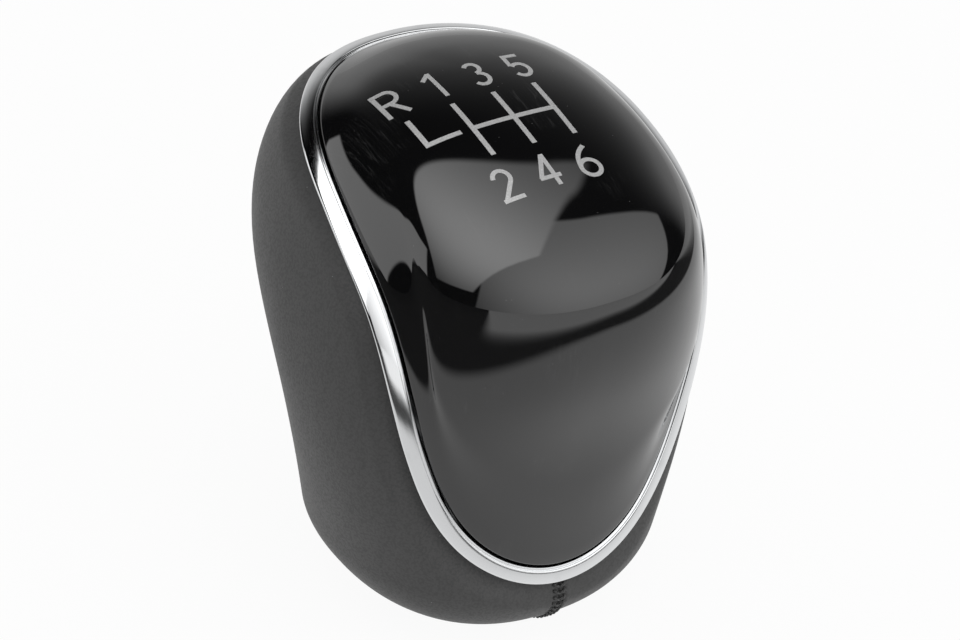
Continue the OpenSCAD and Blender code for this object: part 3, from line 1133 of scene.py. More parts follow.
@dataclass
class GlossCap:
    """The gloss black cap over the crown and the whole front.

    Its rows run from the crown to its edge. The flanks run from one share of the way round to another, with
    0 at the driver's side and 1 at the back.
    """

    seat: RingSeat
    gap: float = 0.32
    sunk: float = 0.12
    edge_r: float = 0.45
    edge_turns: tuple[float, ...] = (72, 54, 36, 18, 0)
    wall: float = 1.9
    fade: float = 15.0
    flat: float = 0.7
    flat_at: float = 14.0
    flat_power: float = 1.5
    flank_from: float = 0.15
    flank_full: float = 0.4
    flank_end: float = 0.8
    row_bias: float = 0.6
    stations: int = 300
    rows: int = 72
    inner_rows: int = 16
    inner_fade: float = 3

    def build(self) -> bpy.types.Object:
        """Loft the cap's face, its rounded edge and its inner face.

        Returns:
            The finished cap.
        """
        form, line = self.seat.line.form, self.seat.line
        station = np.arange(self.stations) / self.stations
        _outer, inner = self.seat.edges(station)
        start = inner[:, 0] + self.gap
        rise = inner[:, 1] - self.sunk
        places = [self._way(station, start + self.edge_r, share ** self.row_bias)
                  for share in np.linspace(1, 0, self.rows + 1)]
        away = self._away(places)
        drop = self._drop(away, rise, station)
        face = [form.off(place, proud) for place, proud in zip(places, drop)]
        turns = np.radians(self.edge_turns)
        edge = [self.seat.at(station, start + self.edge_r * (1 - math.cos(turn)),
                             rise - self.edge_r * (1 - math.sin(turn))) for turn in turns]
        inner_face = []
        for row in range(self.inner_rows + 1):
            place = self._way(station, start + (0 if row == 0 else self.edge_r),
                              (row / self.inner_rows) ** self.row_bias)
            fade = np.clip(1 - row / self.inner_rows * self.inner_fade, 0, 1)
            inner_face.append(form.off(place, rise * fade - self.wall))
        crown = np.array([0, form.crown_y, form.height])
        cap = lofted("gloss_cap", np.array(face + edge + inner_face), start=crown,
                     end=crown - np.array([0, 0, self.wall]))
        return dressed(cap, GlossBlack())

    def _way(self, station: np.ndarray, start: np.ndarray, share: float) -> np.ndarray:
        """Find a place on the way from the cap's edge to the crown.

        Args:
            station: The stations.
            start: Distance of the way's start from the ring's line.
            share: Share of the way.

        Returns:
            The place at each station.
        """
        line = self.seat.line
        step = line.inward(station)
        first = line.place(station) + start[:, None] * step
        crown = np.stack([np.full(station.shape, line.crown_level), line.spread(station)], -1)
        return blended(first, first + line.lead_in * step, crown, np.array(share))

    def _away(self, places: list[np.ndarray]) -> np.ndarray:
        """Measure how far each row's points lie from the cap's edge, along the form.

        Args:
            places: Places of each row, from the crown to the edge.

        Returns:
            The distances, as rows by stations.
        """
        points = np.array([self.seat.line.form.point(place) for place in places])
        steps = np.linalg.norm(np.diff(points, axis=0), axis=-1)
        from_crown = np.concatenate([np.zeros((1, steps.shape[1])), np.cumsum(steps, axis=0)])
        return from_crown[-1] - from_crown

    def _drop(self, away: np.ndarray, rise: np.ndarray, station: np.ndarray) -> np.ndarray:
        """Height of the face over the form: it meets the ring, and its flanks run flatter above the waist.

        Args:
            away: Distance of each point from the edge.
            rise: Height of the edge over the form.
            station: The stations.

        Returns:
            The height at each point.
        """
        x = np.clip(away / self.fade, 0, 1)
        meet = rise * (1 - x) ** 2 * (1 + 2 * x)
        round_way = np.abs(1 - 2 * station)
        rising = (round_way - self.flank_from) / (self.flank_full - self.flank_from)
        falling = (1 - round_way) / (1 - self.flank_end)
        flank = np.clip(rising, 0, 1) * np.clip(falling, 0, 1)
        y = away / self.flat_at
        dent = (y * np.exp(1 - y)) ** self.flat_power * (1 - away / away[0]) ** 2
        return meet - self.flat * flank ** 2 * (3 - 2 * flank) * dent


@dataclass
class LeatherCover:
    """The leather, from the tuck beside the ring down to the edge turned in over the base."""

    line: RingLine
    thickness: float = 1.2
    tuck_depth: float = 1.6
    tuck_w: float = 5.0
    tuck_from: float = 0.15
    lip_z: float = 1.7
    lip_r: float = 11.4
    collar_r: float = 13.5
    collar_t: float = 1.6
    front_crowding: float = 0.72
    stations: int = 336
    tuck_rows: int = 26
    skin_rows: int = 74
    inner_step: int = 6
    crease_w: float = 0.24
    crease_d: float = 0.26
    welt_w: float = 1.1
    welt_h: float = 0.10
    welt_soft: float = 0.6
    stitch_w: float = 0.9
    stitch_pitch: float = 1.1
    first_stitch: float = 0.88
    hole_r: float = 0.28
    hole_d: float = 0.4
    seam_start: float = 0.6
    shade_w: float = 2.6
    seam_columns: int = 40
    seam_step: float = 0.1
    station: np.ndarray = field(init=False)
    face: np.ndarray = field(init=False)
    run: np.ndarray = field(init=False)

    def __post_init__(self) -> None:
        """Work out the leather's stations, its face and the length down each of its columns."""
        share = np.arange(self.stations) / self.stations
        self.station = share - self.front_crowding / (2 * math.pi) * np.sin(2 * math.pi * (share - 0.5))
        self.face = np.array([self._row(index, 0.0) for index in range(self.tuck_rows + self.skin_rows)])
        steps = np.linalg.norm(np.diff(self.face, axis=0), axis=-1)
        self.run = np.concatenate([np.zeros((1, self.stations)), np.cumsum(steps, axis=0)])

    def _row(self, index: int, deep: float) -> np.ndarray:
        """One row of points, some way under the face.

        Args:
            index: Number of the row, counted from the ring.
            deep: Depth under the face.

        Returns:
            The row's points.
        """
        form = self.line.form
        if index < self.tuck_rows:
            inset = self.tuck_from + (self.tuck_w - self.tuck_from) * index / self.tuck_rows
            return form.off(self.line.edge(self.station, -inset), -self._tuck(inset) - deep)
        down = 1 - (1 - (index - self.tuck_rows) / (self.skin_rows - 1)) ** 2
        level = float(form.level(np.array(self.collar_t / 2)))
        return form.off(self.line.to_base(self.station, self.tuck_w, level, down), -deep)

    def _tuck(self, inset: float) -> float:
        """Depth that the leather is drawn in, so many millimetres from the ring."""
        x = max(0.0, 1 - inset / self.tuck_w)
        return self.tuck_depth * x * x * (3 - 2 * x)

    def stitch_runs(self) -> np.ndarray:
        """Distances below the ring of the seam's stitches, down to the turned edge."""
        last = float(self.run[-1, self.stations // 2]) - self.stitch_pitch
        return np.arange(self.first_stitch, last, self.stitch_pitch)

    def seam_relief(self) -> np.ndarray:
        """Work out the relief of the front seam and its stitch holes.

        Returns:
            The height that they add to each point of the face.
        """
        side = np.abs(self.face[..., 0])
        front = self.face[..., 1] < 0
        crease = -self.crease_d * np.exp(-(side / self.crease_w) ** 2)
        welt = self.welt_h * np.exp(-((side - self.welt_w) / (self.welt_soft * self.welt_w)) ** 2)
        holes = np.zeros(side.shape)
        for run in self.stitch_runs():
            away = (self.run - run) ** 2 + (side - self.stitch_w) ** 2
            holes -= self.hole_d * np.exp(-away / self.hole_r ** 2)
        shown = np.minimum(self.run / self.seam_start, 1)
        return np.where(front, (crease + welt + holes) * shown, 0.0)

    def at(self, run: float, side: float, proud: float) -> np.ndarray:
        """A point over the leather's face beside the front seam.

        Args:
            run: Distance below the ring along the face.
            side: Distance from the seam, to the right where positive.
            proud: Height over the face.

        Returns:
            The point.
        """
        middle = self.stations // 2
        near = slice(middle - self.seam_columns, middle + self.seam_columns + 1)
        rows = []
        for face, length in zip(self.face[:, near], self.run[:, near]):
            rows.append([np.interp(side, face[:, 0], column)
                         for column in (length, face[:, 1], face[:, 2])])
        length, y, z = np.array(rows).T
        here = np.array([side, np.interp(run, length, y), np.interp(run, length, z)])
        ahead = run + self.seam_step
        below = np.array([side, np.interp(ahead, length, y), np.interp(ahead, length, z)])
        normal = unit(np.cross(below - here, np.array([1.0, 0, 0])))
        return here + proud * (normal if normal[1] < 0 or normal[2] < 0 else -normal)

    def build(self) -> bpy.types.Object:
        """Make the leather's shell, with its relief beside the seam.

        Returns:
            The finished leather.
        """
        relief = self.seam_relief()
        around = np.roll(self.face, -1, axis=1) - np.roll(self.face, 1, axis=1)
        down = np.gradient(self.face, axis=0)
        normals = unit(np.cross(down, around))
        outer = self.face + relief[..., None] * normals
        ends = self.line.spread(self.station)
        mouth = [self._polar(self.collar_r, ends, self.lip_z), self._polar(self.lip_r, ends, self.lip_z),
                 self._polar(self.lip_r, ends, self.lip_z + self.thickness)]
        inner = [self._row(index, self.thickness)
                 for index in range(len(self.face) - 1, -1, -self.inner_step)]
        for row in inner:
            row[:, 2] = np.maximum(row[:, 2], self.lip_z + self.thickness)
        cover = lofted("leather", np.concatenate([outer, np.array(mouth), np.array(inner)]), closed=True)
        self._mark(cover, relief)
        return dressed(cover, GrainedLeather())

    def _polar(self, r: float, angle: np.ndarray, z: float) -> np.ndarray:
        """A round row of points."""
        turn = np.radians(angle)
        return np.stack([r * np.cos(turn), r * np.sin(turn), np.full(angle.shape, z)], -1)

    def _mark(self, cover: bpy.types.Object, relief: np.ndarray) -> None:
        """Note on the mesh how much shade is painted on each point, beside the ring and in the seam's crease.

        Args:
            cover: The leather's object.
            relief: Height that the seam adds to each point of the face.
        """
        shade_amount = np.ones(len(cover.data.vertices))
        # painted shade: darkest right beside the ring and fading over shade_w, and dark in the seam's crease
        beside = np.clip(1 - self.run / self.shade_w, 0, 1) ** 2
        seam = np.clip(-relief / self.crease_d, 0, 1)
        shade_amount[:self.face.shape[0] * self.stations] = np.maximum(beside, seam).reshape(-1)
        note = cover.data.attributes.new("painted_shade", "FLOAT", "POINT")
        note.data.foreach_set("value", shade_amount.astype(np.float32))


@dataclass
class FrontSeam:
    """The cross stitches that close the leather below the ring, each of two twisted plies."""

    leather: LeatherCover
    thread_r: float = 0.2
    ply_r: float = 0.12
    twist: float = 1.0
    steps: int = 26
    around: int = 7

    def build(self) -> bpy.types.Object:
        """Sweep each stitch's plies from its hole over the welt and into the crease.

        Returns:
            The finished stitches.
        """
        plies = [ply for run in self.leather.stitch_runs() for side in (-1, 1)
                 for ply in self._stitch(float(run), side)]
        return dressed(joined("seam_stitches", plies), TwistedThread())

    def _stitch(self, run: float, side: int) -> list[bpy.types.Object]:
        """One side of a stitch.

        Args:
            run: Distance of its hole below the ring.
            side: -1 for the left of the seam and 1 for the right.

        Returns:
            Its two plies.
        """
        leather = self.leather
        guides = [(0.0, 1.0, -0.5), (0.02, 1.0, -0.1), (0.12, 0.92, 0.22), (0.5, 0.5, 0.34),
                  (0.88, 0.12, 0.14), (1.0, 0.02, -0.2)]
        shares = np.linspace(0, 1, self.steps)
        table = np.array(guides)
        path = np.array([leather.at(run + share * leather.stitch_pitch / 2,
                                    side * leather.stitch_w * np.interp(share, table[:, 0], table[:, 1]),
                                    np.interp(share, table[:, 0], table[:, 2])) for share in shares])
        path = self._smooth(path)
        ahead = unit(np.gradient(path, axis=0))
        across = unit(np.cross(ahead, ASKEW))
        over = np.cross(across, ahead)
        turn = 2 * np.pi * np.cumsum(np.r_[0, np.linalg.norm(np.diff(path, axis=0), axis=1)]) / self.twist
        plies = []
        for start in (0, np.pi):
            swing = (self.thread_r - self.ply_r) * (np.cos(turn + start)[:, None] * across
                                                    + np.sin(turn + start)[:, None] * over)
            plies.append(tube("ply", path + swing, self.ply_r, self.around))
        return plies

    @staticmethod
    def _smooth(path: np.ndarray) -> np.ndarray:
        """Take the corners off a path, its ends kept.

        Args:
            path: The path's points, which are changed.

        Returns:
            The same path.
        """
        for _ in range(3):
            path[1:-1] = (path[:-2] + 2 * path[1:-1] + path[2:]) / 4
        return path


def arc(x: float, y: float, r: float, first: float, last: float) -> list[tuple[float, float]]:
    """Draw an arc with a point every 9 degrees or so.

    Args:
        x: Middle of the arc, across.
        y: Middle of the arc, up.
        r: Radius.
        first: Angle of the first point, in degrees.
        last: Angle of the last point, in degrees.

    Returns:
        The arc's points.
    """
    count = max(2, int(abs(last - first) / 9) + 1)
    return [(x + r * math.cos(math.radians(a)), y + r * math.sin(math.radians(a)))
            for a in np.linspace(first, last, count)]


@dataclass
class ShiftPattern:
    """The printed shift pattern on the crown: gate lines, R and the numbers 1 to 6.

    The glyphs are drawn tall and then raised by the share rise, about their own centres.
    """

    form: BodyForm
    stroke: float = 0.7
    gate_stroke: float = 0.8
    tall: float = 5.5
    rise: float = 1.13
    gate_x: float = 6.94
    gate_y: float = 5.94
    reverse_x: float = 14.5
    reverse_foot: float = 5.6
    raised: float = 0.03
    sunk: float = 0.03
    step: float = 0.3
    layer: float = 0.002

    def glyphs(self) -> dict[str, tuple[float, float, float]]:
        """Lay out the glyphs.

        Returns:
            Centre of each glyph in plan, and how much wider it is than drawn.
        """
        return {"R": (-14.4, 10.9, 1.12), "1": (-7.0, 11.0, 1.0), "3": (0.3, 10.8, 1.0),
                "5": (7.2, 10.7, 0.93), "2": (-8.3, -11.7, 1.0), "4": (-1.3, -11.3, 1.0),
                "6": (5.5, -11.6, 1.12)}

    def strokes(self, glyph: str) -> list[list[tuple[float, float]]]:
        """Centre lines of a glyph's strokes, about its own centre.

        Args:
            glyph: The letter or number.

        Returns:
            The strokes, each a list of points.
        """
        top = self.tall / 2
        cap = top - self.stroke / 2
        forms = {
            "R": [[(-1.4, -top), (-1.4, top)],
                  [(-1.4, cap), *arc(0.15, cap - 1.25, 1.25, 90, -90), (-1.4, cap - 2.5)],
                  [(-0.1, cap - 2.5), (1.55, -top)]],
            "1": [[(0.55, -top), (0.55, top)], [(0.6, cap + 0.2), (-1.0, cap - 1.05)]],
            "2": [[*arc(0, cap - 1.28, 1.28, 172, -36), (-1.35, -cap)], [(-1.75, -cap), (1.7, -cap)]],
            "3": [arc(-0.1, cap - 1.1, 1.1, 150, -90), arc(-0.1, -cap + 1.26, 1.26, 90, -150)],
            "4": [[(0.7, -top), (0.7, top - 0.1)], [(0.7, cap + 0.15), (-1.5, -1.2)],
                  [(-1.75, -1.2), (1.75, -1.2)]],
            "5": [[(1.35, cap), (-1.15, cap)], [(-1.05, top), (-1.3, 0.1)],
                  arc(-0.05, -cap + 1.4, 1.4, 140, -150)],
            "6": [arc(0, -cap + 1.35, 1.35, 0, 360),
                  [self._curve(share) for share in np.linspace(0, 1, 12)]],
        }
        return forms[glyph]

    def _curve(self, share: float) -> tuple[float, float]:
        """Find a point of the six's upright, from its tip down into its bowl.

        Args:
            share: Share of the way down.

        Returns:
            The point, about the six's centre.
        """
        tip, bend, foot = np.array([0.95, 2.62]), np.array([-1.15, 1.5]), np.array([-1.35, -1.0])
        x, y = blended(tip, bend, foot, share)
        return float(x), float(y)

    def gates(self) -> list[list[tuple[float, float]]]:
        """Lay out the gates, the crossbar and the reverse gate.

        Returns:
            The centre line of each stroke.
        """
        x, y, h = self.gate_x, self.gate_y, self.gate_stroke / 2
        lines = [[(gate, -y), (gate, y)] for gate in (-x, 0, x)]
        return [*lines, [(-x, 0), (x, 0)], [(-self.reverse_x, y), (-self.reverse_x, -h)],
                [(-self.reverse_x - h, 0), (-self.reverse_x + self.reverse_foot, 0)]]

    def build(self) -> bpy.types.Object:
        """Lay every stroke on the crown and join those that meet.

        Returns:
            The finished print.
        """
        marks = [self._united("gates", self.gates(), self.gate_stroke)]
        for glyph, (x, y, wide) in self.glyphs().items():
            lines = [[(x + a * wide, y + b * self.rise) for a, b in line] for line in self.strokes(glyph)]
            marks.append(self._united("glyph", lines, self.stroke))
        pattern = joined("shift_pattern", marks)
        pattern.data.polygons.foreach_set("use_smooth", [False] * len(pattern.data.polygons))
        return dressed(pattern, PrintedInk())

    def _united(self, name: str, lines: list[list[tuple[float, float]]], width: float) -> bpy.types.Object:
        """One solid from strokes that meet.

        Args:
            name: Name of the solid.
            lines: Centre lines of its strokes.
            width: Width of the strokes.

        Returns:
            The solid.
        """
        ribbons = [self._ribbon(line, index * self.layer, width) for index, line in enumerate(lines)]
        whole = combined(ribbons[0], ribbons[1:], Cut.JOIN)
        whole.name = name
        return whole

    def _ribbon(self, line: list[tuple[float, float]], lift: float, width: float) -> bpy.types.Object:
        """A thin solid band along a stroke, laid on the crown.

        Args:
            line: Points of the stroke's centre line, in plan.
            lift: Extra height that keeps it clear of the strokes that it crosses.
            width: Width of the band.

        Returns:
            The band.
        """
        points = np.array(line)
        closed = len(points) > 3 and np.allclose(points[0], points[-1])
        length = np.r_[0, np.cumsum(np.linalg.norm(np.diff(points, axis=0), axis=1))]
        count = max(3, int(length[-1] / self.step))
        at = np.linspace(0, length[-1], count + 1)
        middle = np.stack([np.interp(at, length, points[:, k]) for k in (0, 1)], -1)
        along = np.gradient(middle, axis=0)
        if closed:
            middle, along = middle[:-1], np.roll(middle[:-1], -1, axis=0) - np.roll(middle[:-1], 1, axis=0)
        along /= np.linalg.norm(along, axis=1)[:, None]
        side = np.stack([-along[:, 1], along[:, 0]], -1) * width / 2
        corners = []
        for offset, height in ((side, self.raised + lift), (-side, self.raised + lift),
                               (-side, -self.sunk - lift), (side, -self.sunk - lift)):
            x, y = (middle + offset).T
            corners.append(np.stack([x, y, self.form.crown_height(x, y) + height], -1))
        loops = np.stack(corners, 1)
        if closed:
            return lofted("band", loops, closed=True)
        return self._capped(loops)

    @staticmethod
    def _capped(loops: np.ndarray) -> bpy.types.Object:
        """Close a band of four sided loops with flat ends.

        Args:
            loops: The loops, in order along the band.

        Returns:
            The band.
        """
        count = len(loops)
        faces = [(4 * i + a, 4 * i + b, 4 * i + 4 + b, 4 * i + 4 + a)
                 for i in range(count - 1) for a, b in ((0, 1), (1, 2), (2, 3), (3, 0))]
        ends = [(0, 1, 2, 3), tuple(4 * (count - 1) + k for k in (3, 2, 1, 0))]
        return meshed("band", loops.reshape(-1, 3), faces + ends)


@dataclass
class ThreadedInsert:
    """The brass insert with its real thread, its locking grooves and a straight knurl."""

    bore_r: float = 4.35
    thread_depth: float = 0.68
    pitch: float = 1.25
    outer_r: float = 6.8
    bottom: float = 7.6
    length: float = 26.0
    groove_d: float = 0.6
    groove_w: float = 2.4
    knurl_d: float = 0.15
    around: int = 72
    rows_a_turn: int = 12

    def build(self) -> bpy.types.Object:
        """Loft the threaded bore and the outside into one closed piece.

        Returns:
            The finished insert.
        """
        turn = np.arange(self.around) / self.around
        heights = np.linspace(0, self.length, int(self.length / self.pitch * self.rows_a_turn) + 1)
        bore = [self._ring(self._bore(turn, z), z, turn) for z in heights]
        knurl = self.knurl_d * (np.arange(self.around) % 2)
        outside = [self._ring(radius - knurl * (radius == self.outer_r), z, turn)
                   for radius, z in self._outside()]
        return dressed(lofted("brass_insert", np.array(bore + outside), closed=True),
                       TurnedMetal(name="turned_brass"))

    def _bore(self, turn: np.ndarray, z: float) -> np.ndarray:
        """Work out the threaded bore, opened by a chamfer at both ends.

        Args:
            turn: Share of a turn of each point.
            z: Height over the insert's foot.

        Returns:
            The radius at each point.
        """
        phase = np.abs(2 * ((z / self.pitch - turn) % 1) - 1)
        thread = self.bore_r + self.thread_depth * np.clip((phase - 0.25) / 0.625, 0, 1)
        from_end = min(z, self.length - z)
        return np.maximum(thread, self.bore_r + self.thread_depth - from_end)

    def _outside(self) -> list[tuple[float, float]]:
        """Draw the outside with its two locking grooves.

        Returns:
            Radius and height of each corner, from the top down.
        """
        profile = [(self.outer_r, self.length)]
        for share in (2 / 3, 1 / 3):
            middle, half, deep = self.length * share, self.groove_w / 2, self.groove_d
            profile += [(self.outer_r, middle + half), (self.outer_r - deep, middle + half - deep),
                        (self.outer_r - deep, middle - half + deep), (self.outer_r, middle - half)]
        return [*profile, (self.outer_r, 0.0)]

    def _ring(self, radius: np.ndarray, z: float, turn: np.ndarray) -> np.ndarray:
        """Place a round row of points.

        Args:
            radius: Radius of each point.
            z: Height over the insert's foot.
            turn: Share of a turn of each point.

        Returns:
            The points.
        """
        angle = 2 * np.pi * turn
        return np.stack([radius * np.cos(angle), radius * np.sin(angle),
                         np.full(turn.shape, self.bottom + z)], -1)


@dataclass
class Screw:
    """A pan head screw with a cross recess, its head's seat at the origin and its shank below."""

    shank_r: float = 1.3
    head_r: float = 2.2
    head_h: float = 1.2
    length: float = 6.0
    pitch: float = 0.9
    thread_d: float = 0.28
    slot_w: float = 0.62
    slot_depth: float = 0.7
    slot_over: float = 0.2
    slot_r: float = 1.25
    slot_foot_r: float = 0.7
    around: int = 28
    rows_a_turn: int = 8

    def build(self) -> bpy.types.Object:
        """Make the screw and cut its recess.

        Returns:
            The screw, not yet finished.
        """
        turn = np.arange(self.around) / self.around
        heights = np.linspace(-self.length, 0, int(self.length / self.pitch * self.rows_a_turn) + 1)
        rows = [self._row(self._shank(turn, z), z, turn) for z in heights]
        head = rounded([(self.head_r, 0.0, 0.15), (self.head_r, self.head_h, 0.6), (0.4, self.head_h, 0)])
        rows += [self._row(np.full(self.around, r), z, turn) for r, z in head]
        body = lofted("screw", np.array(rows), start=np.array([0, 0, -self.length]),
                      end=np.array([0, 0, self.head_h]))
        return combined(body, [self._slot(0), self._slot(90)], Cut.TAKE_AWAY)

    def _shank(self, turn: np.ndarray, z: float) -> np.ndarray:
        """Work out the threaded shank, which narrows to its tip.

        Args:
            turn: Share of a turn of each point.
            z: Height over the head's seat, which is below 0.

        Returns:
            The radius at each point.
        """
        phase = np.abs(2 * ((z / self.pitch - turn) % 1) - 1)
        radius = self.shank_r - self.thread_d * np.clip(1 - (phase - 0.1) / 0.5, 0, 1)
        return np.minimum(radius, self.shank_r * (0.45 + 0.5 * (z + self.length)))

    @staticmethod
    def _row(radius: np.ndarray, z: float, turn: np.ndarray) -> np.ndarray:
        """A round row of points."""
        angle = 2 * np.pi * turn
        return np.stack([radius * np.cos(angle), radius * np.sin(angle), np.full(turn.shape, z)], -1)

    def _slot(self, turn: float) -> bpy.types.Object:
        """Make one wing of the cross recess, narrower at its foot.

        Args:
            turn: Turn of the wing in degrees.

        Returns:
            The wing, to be cut from the head.
        """
        top, foot, w = self.head_h + self.slot_over, self.head_h - self.slot_depth, self.slot_w / 2
        levels = ((foot, self.slot_foot_r, 0.6 * w), (top, self.slot_r, w))
        points = np.array([(x, y, z) for z, reach, half in levels
                           for x, y in ((-reach, -half), (reach, -half), (reach, half), (-reach, half))])
        c, s = math.cos(math.radians(turn)), math.sin(math.radians(turn))
        points[:, :2] = points[:, :2] @ np.array([[c, s], [-s, c]])
        faces = [(3, 2, 1, 0), (4, 5, 6, 7), (0, 1, 5, 4), (1, 2, 6, 5), (2, 3, 7, 6), (3, 0, 4, 7)]
        return meshed("wing", points, faces)


@dataclass
class ScrewSet:
    """Like screws that hold one piece, placed and joined into one object."""

    name: str
    screw: Screw
    places: tuple[tuple[float, float, float], ...]
    head_up: bool
    first_turn: float = 17
    next_turn: float = 41

    def build(self) -> bpy.types.Object:
        """Place a copy of the screw at each place, each turned a little differently.

        Returns:
            The finished screws, as one object.
        """
        made = []
        for index, place in enumerate(self.places):
            one = self.screw.build()
            flip = Matrix.Identity(4) if self.head_up else Matrix.Rotation(math.pi, 4, "X")
            turn = Matrix.Rotation(math.radians(self.first_turn + self.next_turn * index), 4, "Z")
            one.data.transform(Matrix.Translation(Vector(place) * MM) @ flip @ turn)
            made.append(one)
        whole = joined(self.name, made)
        whole.data.polygons.foreach_set("use_smooth", [True] * len(whole.data.polygons))
        whole.data.set_sharp_from_angle(angle=math.radians(35))
        return dressed(whole, TurnedMetal(name=f"{self.name}_zinc", colour=(0.62, 0.63, 0.65),
                                          dull=(0.46, 0.47, 0.49)))


@dataclass
class InnerPieces:
    """The frame's own inner pieces, which keep their form and get a finish, and the screws that hold them."""

    collar_r: float = 9.05
    collar_z: float = 1.3
    collar_turns: tuple[float, ...] = (90, 210, 330)
    tower_x: float = 12.0
    tower_y: float = 7.0
    tower_z: float = 56.0
    tower_length: float = 14.0

    def collar_screws(self) -> ScrewSet:
        """Lay out the screws that hold the collar, their heads down.

        Returns:
            The screws, not yet built.
        """
        turns = [math.radians(turn) for turn in self.collar_turns]
        r, z = self.collar_r, self.collar_z
        places = tuple((r * math.cos(turn), r * math.sin(turn), z) for turn in turns)
        return ScrewSet("collar_screw_set", Screw(), places, False)

    def carrier_screws(self) -> ScrewSet:
        """The screws that hold the carrier on the core's towers."""
        places = tuple((x, self.tower_y, self.tower_z) for x in (-self.tower_x, self.tower_x))
        return ScrewSet("carrier_screw_set", Screw(length=self.tower_length), places, True)

    def dress(self) -> None:
        """Give the moulded pieces and the bush their finishes."""
        for node in ("cap_carrier", "core_body", "base_collar"):
            dressed(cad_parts[node], MattMoulding(name=f"{node}_moulding"))
            log.info("%s: finished as a moulding", node)
        dressed(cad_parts["lever_bush"], BushRubber())
        log.info("lever_bush: finished as rubber")


# Studio and camera

@dataclass(frozen=True)
class Card:
    """A soft lamp for matt surfaces, square to the line from the knob to it."""

    name: str
    azimuth: float
    elevation: float
    distance: float
    width: float
    height: float
    level: float

    def build(self, target: Vector) -> None:
        """Add the lamp.

        Args:
            target: The point that it faces, in metres.
        """
        lamp = bpy.data.lights.new(self.name, "AREA")
        lamp.shape = "RECTANGLE"
        lamp.size, lamp.size_y = self.width, self.height
        lamp.energy = self.level * math.pi * self.width * self.height
        away = direction(self.azimuth, self.elevation)
        stand = bpy.data.objects.new(self.name, lamp)
        stand.location = target + away * self.distance
        stand.rotation_euler = away.to_track_quat("Z", "Y").to_euler()
        stand.visible_camera = False
        stand.visible_glossy = False
        bpy.context.scene.collection.objects.link(stand)


Way = tuple[float, float]


@dataclass(frozen=True)
class Pane:
    """A bright area of the studio as gloss surfaces mirror it, bounded by straight edges.

    A way is an azimuth and an elevation, and each edge runs through two of them.
    """

    middle: Way
    level: float
    fall: float
    edges: tuple[tuple[Way, Way], ...]
    soft: float = 0.015
    least: float = 0.35

    def mask(self, board: NodeBoard, aim: Value) -> Value:
        """Mark where a direction meets the pane.

        Args:
            board: The world's nodes.
            aim: The direction.

        Returns:
            1 on the pane and 0 beside it.
        """
        inside = direction(*self.middle)
        whole: Value | float = 1.0
        for first, second in self.edges:
            normal = direction(*first).cross(direction(*second)).normalized()
            if normal.dot(inside) < 0:
                normal.negate()
            whole = whole * board.along(aim, tuple(normal)).between(-self.soft, self.soft)
        return whole

    def glow(self, board: NodeBoard, aim: Value) -> Value:
        """Work out the pane's brightness, which falls off from its middle.

        Args:
            board: The world's nodes.
            aim: The direction.

        Returns:
            The brightness.
        """
        near = board.along(aim, tuple(direction(*self.middle)))
        return board.math("MAXIMUM", self.level - self.fall + near * self.fall, self.least)


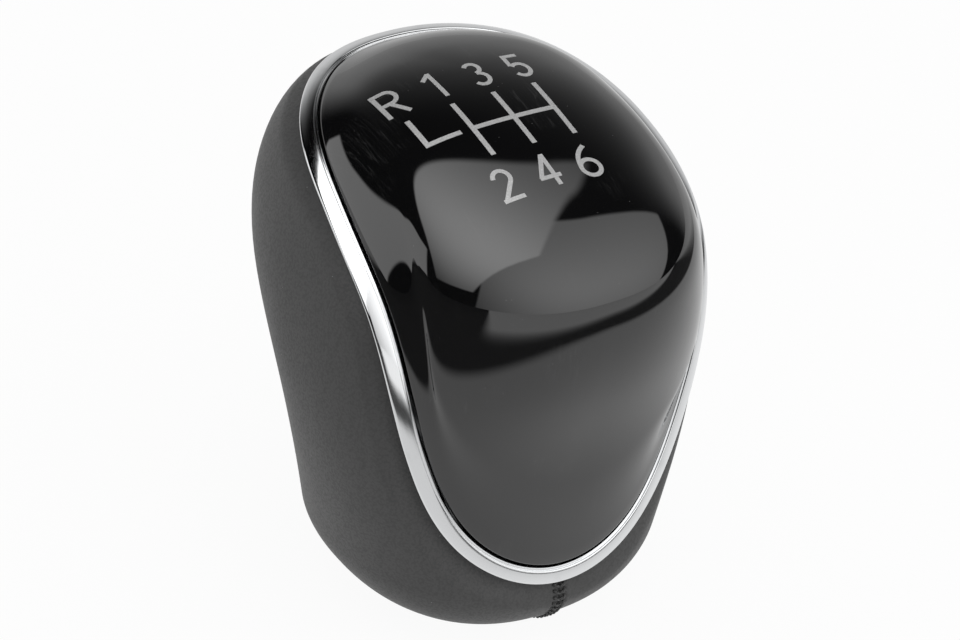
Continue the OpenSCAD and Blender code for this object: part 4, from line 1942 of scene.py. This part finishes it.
@dataclass
class Studio:
    """Pale floor, soft lamps, and a surround that is white to the camera and a studio to gloss surfaces."""

    floor_r: float = 4.0
    floor_z: float = -0.00002
    floor_sides: int = 64
    fill: float = 0.42
    wall: float = 0.6
    target: Vector = field(default_factory=lambda: Vector((0, 0, 0.04)))
    cards: tuple[Card, ...] = (
        Card("overhead_card", 0, 90, 0.70, 0.86, 0.86, 1.0),
        Card("front_card", 30, 22, 0.80, 1.1, 0.75, 1.0),
        Card("side_card", -127, 7, 0.80, 0.75, 0.5, 1.0),
    )
    block: Pane = Pane((-60, 68), 2.3, 3.3, (
        ((116.6, 41.8), (-116.6, 41.8)), ((-65.9, 20.1), (24.4, 76.4)), ((24.4, 76.4), (123.1, 49.3)),
        ((-93.6, 6.0), (-70.0, 12.1))))
    front: Pane = Pane((15, 35), 1.5, 1.3, (
        ((98.0, 44.7), (-98.0, 44.7)), ((-64, 0), (-64, 60)), ((55, -3), (95, 33))))
    strip: Pane = Pane((-127, 7), 1.25, 0.5, (
        ((-152, 0), (-152, 60)), ((-103, 0), (-103, 60)), ((-150, 18), (-104, 18)), ((-150, -8), (-104, -8))))

    def build(self) -> None:
        """Lay the floor, hang the lamps and light the surround."""
        self._floor()
        for card in self.cards:
            card.build(self.target)
        self._surround()

    def _floor(self) -> None:
        """A round pale floor at the knob's foot."""
        sides = self.floor_sides
        angles = np.arange(sides) * 2 * np.pi / sides
        r = self.floor_r
        ring = np.stack([r * np.cos(angles), r * np.sin(angles), np.full(sides, self.floor_z)], -1)
        floor = meshed("pale_floor", ring / MM, [tuple(range(sides))])
        dressed(floor, PaleFloor())

    def _surround(self) -> None:
        """White to the camera, a soft fill for matt surfaces, and the panes and a dim wall for mirrors."""
        world = bpy.data.worlds.new("surround")
        bpy.context.scene.world = world
        world.use_nodes = True
        board = NodeBoard(world.node_tree)
        rays = board.node("ShaderNodeLightPath")
        seen, mirrored = board.out(rays, "Is Camera Ray"), board.out(rays, "Is Glossy Ray")
        strength = seen + (1 - seen) * (mirrored * self._mirrored(board) + (1 - mirrored) * self.fill)
        glow = board.node("ShaderNodeBackground", None, {"Color": (1, 1, 1, 1), "Strength": strength})
        board.node("ShaderNodeOutputWorld", None, {"Surface": board.out(glow)})

    def _mirrored(self, board: NodeBoard) -> Value:
        """Work out the studio's brightness in each direction, as the cap and the ring mirror it.

        Args:
            board: The world's nodes.

        Returns:
            The brightness.
        """
        aim = board.out(board.node("ShaderNodeTexCoord"), "Generated")
        parts = board.node("ShaderNodeSeparateXYZ", None, {0: aim})
        right, back, rise = (board.out(parts, axis) for axis in "XYZ")
        in_block = self.block.mask(board, aim)
        above = self.block.glow(board, aim) * in_block
        above = above + self.front.glow(board, aim) * self.front.mask(board, aim) * (1 - in_block)
        beside = self.strip.glow(board, aim) * self.strip.mask(board, aim)
        behind = right.between(-0.3, 0.1) * back.between(0.0, 0.35)
        wall = behind * (rise.between(0.8, 0.2) ** 1.2) * self.wall
        return board.math("MAXIMUM", board.math("MAXIMUM", above, beside), wall)


@dataclass(frozen=True)
class PhotoCamera:
    """The photograph's viewpoint, from the left of the driver's side and above."""

    azimuth: float = -34.73
    elevation: float = 34.75
    roll: float = 5.75
    distance: float = 852.8
    target: tuple[float, float, float] = (0, 2.8, 40)
    lens: float = 214.6
    sensor_w: float = 36
    shift: tuple[float, float] = (-0.0016, 0.0071)

    def build(self) -> None:
        """Stand the camera and make it the scene's."""
        a, r = math.radians(self.azimuth), math.radians(self.roll)
        back = direction(self.azimuth, self.elevation)
        right = Vector((math.cos(a), math.sin(a), 0))
        up = back.cross(right)
        across = right * math.cos(r) + up * math.sin(r)
        above = up * math.cos(r) - right * math.sin(r)
        data = bpy.data.cameras.new("photo_camera")
        data.lens, data.sensor_width = self.lens, self.sensor_w
        data.shift_x, data.shift_y = self.shift
        stand = bpy.data.objects.new("photo_camera", data)
        turn = Matrix((across, above, back)).transposed().to_4x4()
        stand.matrix_world = Matrix.Translation((Vector(self.target) + back * self.distance) * MM) @ turn
        bpy.context.scene.collection.objects.link(stand)
        bpy.context.scene.camera = stand


def main() -> None:
    """Build the knob's pieces, the studio and the camera."""
    logging.basicConfig(level=logging.INFO, format="%(name)s: %(message)s")
    bpy.context.scene.view_settings.view_transform = "Standard"
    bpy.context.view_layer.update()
    line = RingLine()
    PhotoCamera().build()
    Studio().build()
    inner = InnerPieces()
    inner.dress()
    leather = LeatherCover(line)
    seated(leather.build(), "cover_leather", "leather_cover")
    seated(FrontSeam(leather).build(), "thread", "seam_thread")
    seat = RingSeat(line)
    seated(TrimRing(seat).build(), "bright_trim", "chrome_bezel")
    seated(GlossCap(seat).build(), "gloss_cap", "top_cap")
    seated(ShiftPattern(line.form).build(), "bright_trim")
    seated(ThreadedInsert().build(), "insert_brass", "threaded_insert")
    seated(inner.collar_screws().build(), "screw_steel", "collar_screws")
    seated(inner.carrier_screws().build(), "screw_steel", "carrier_screws")


if __name__ == "__main__":
    main()
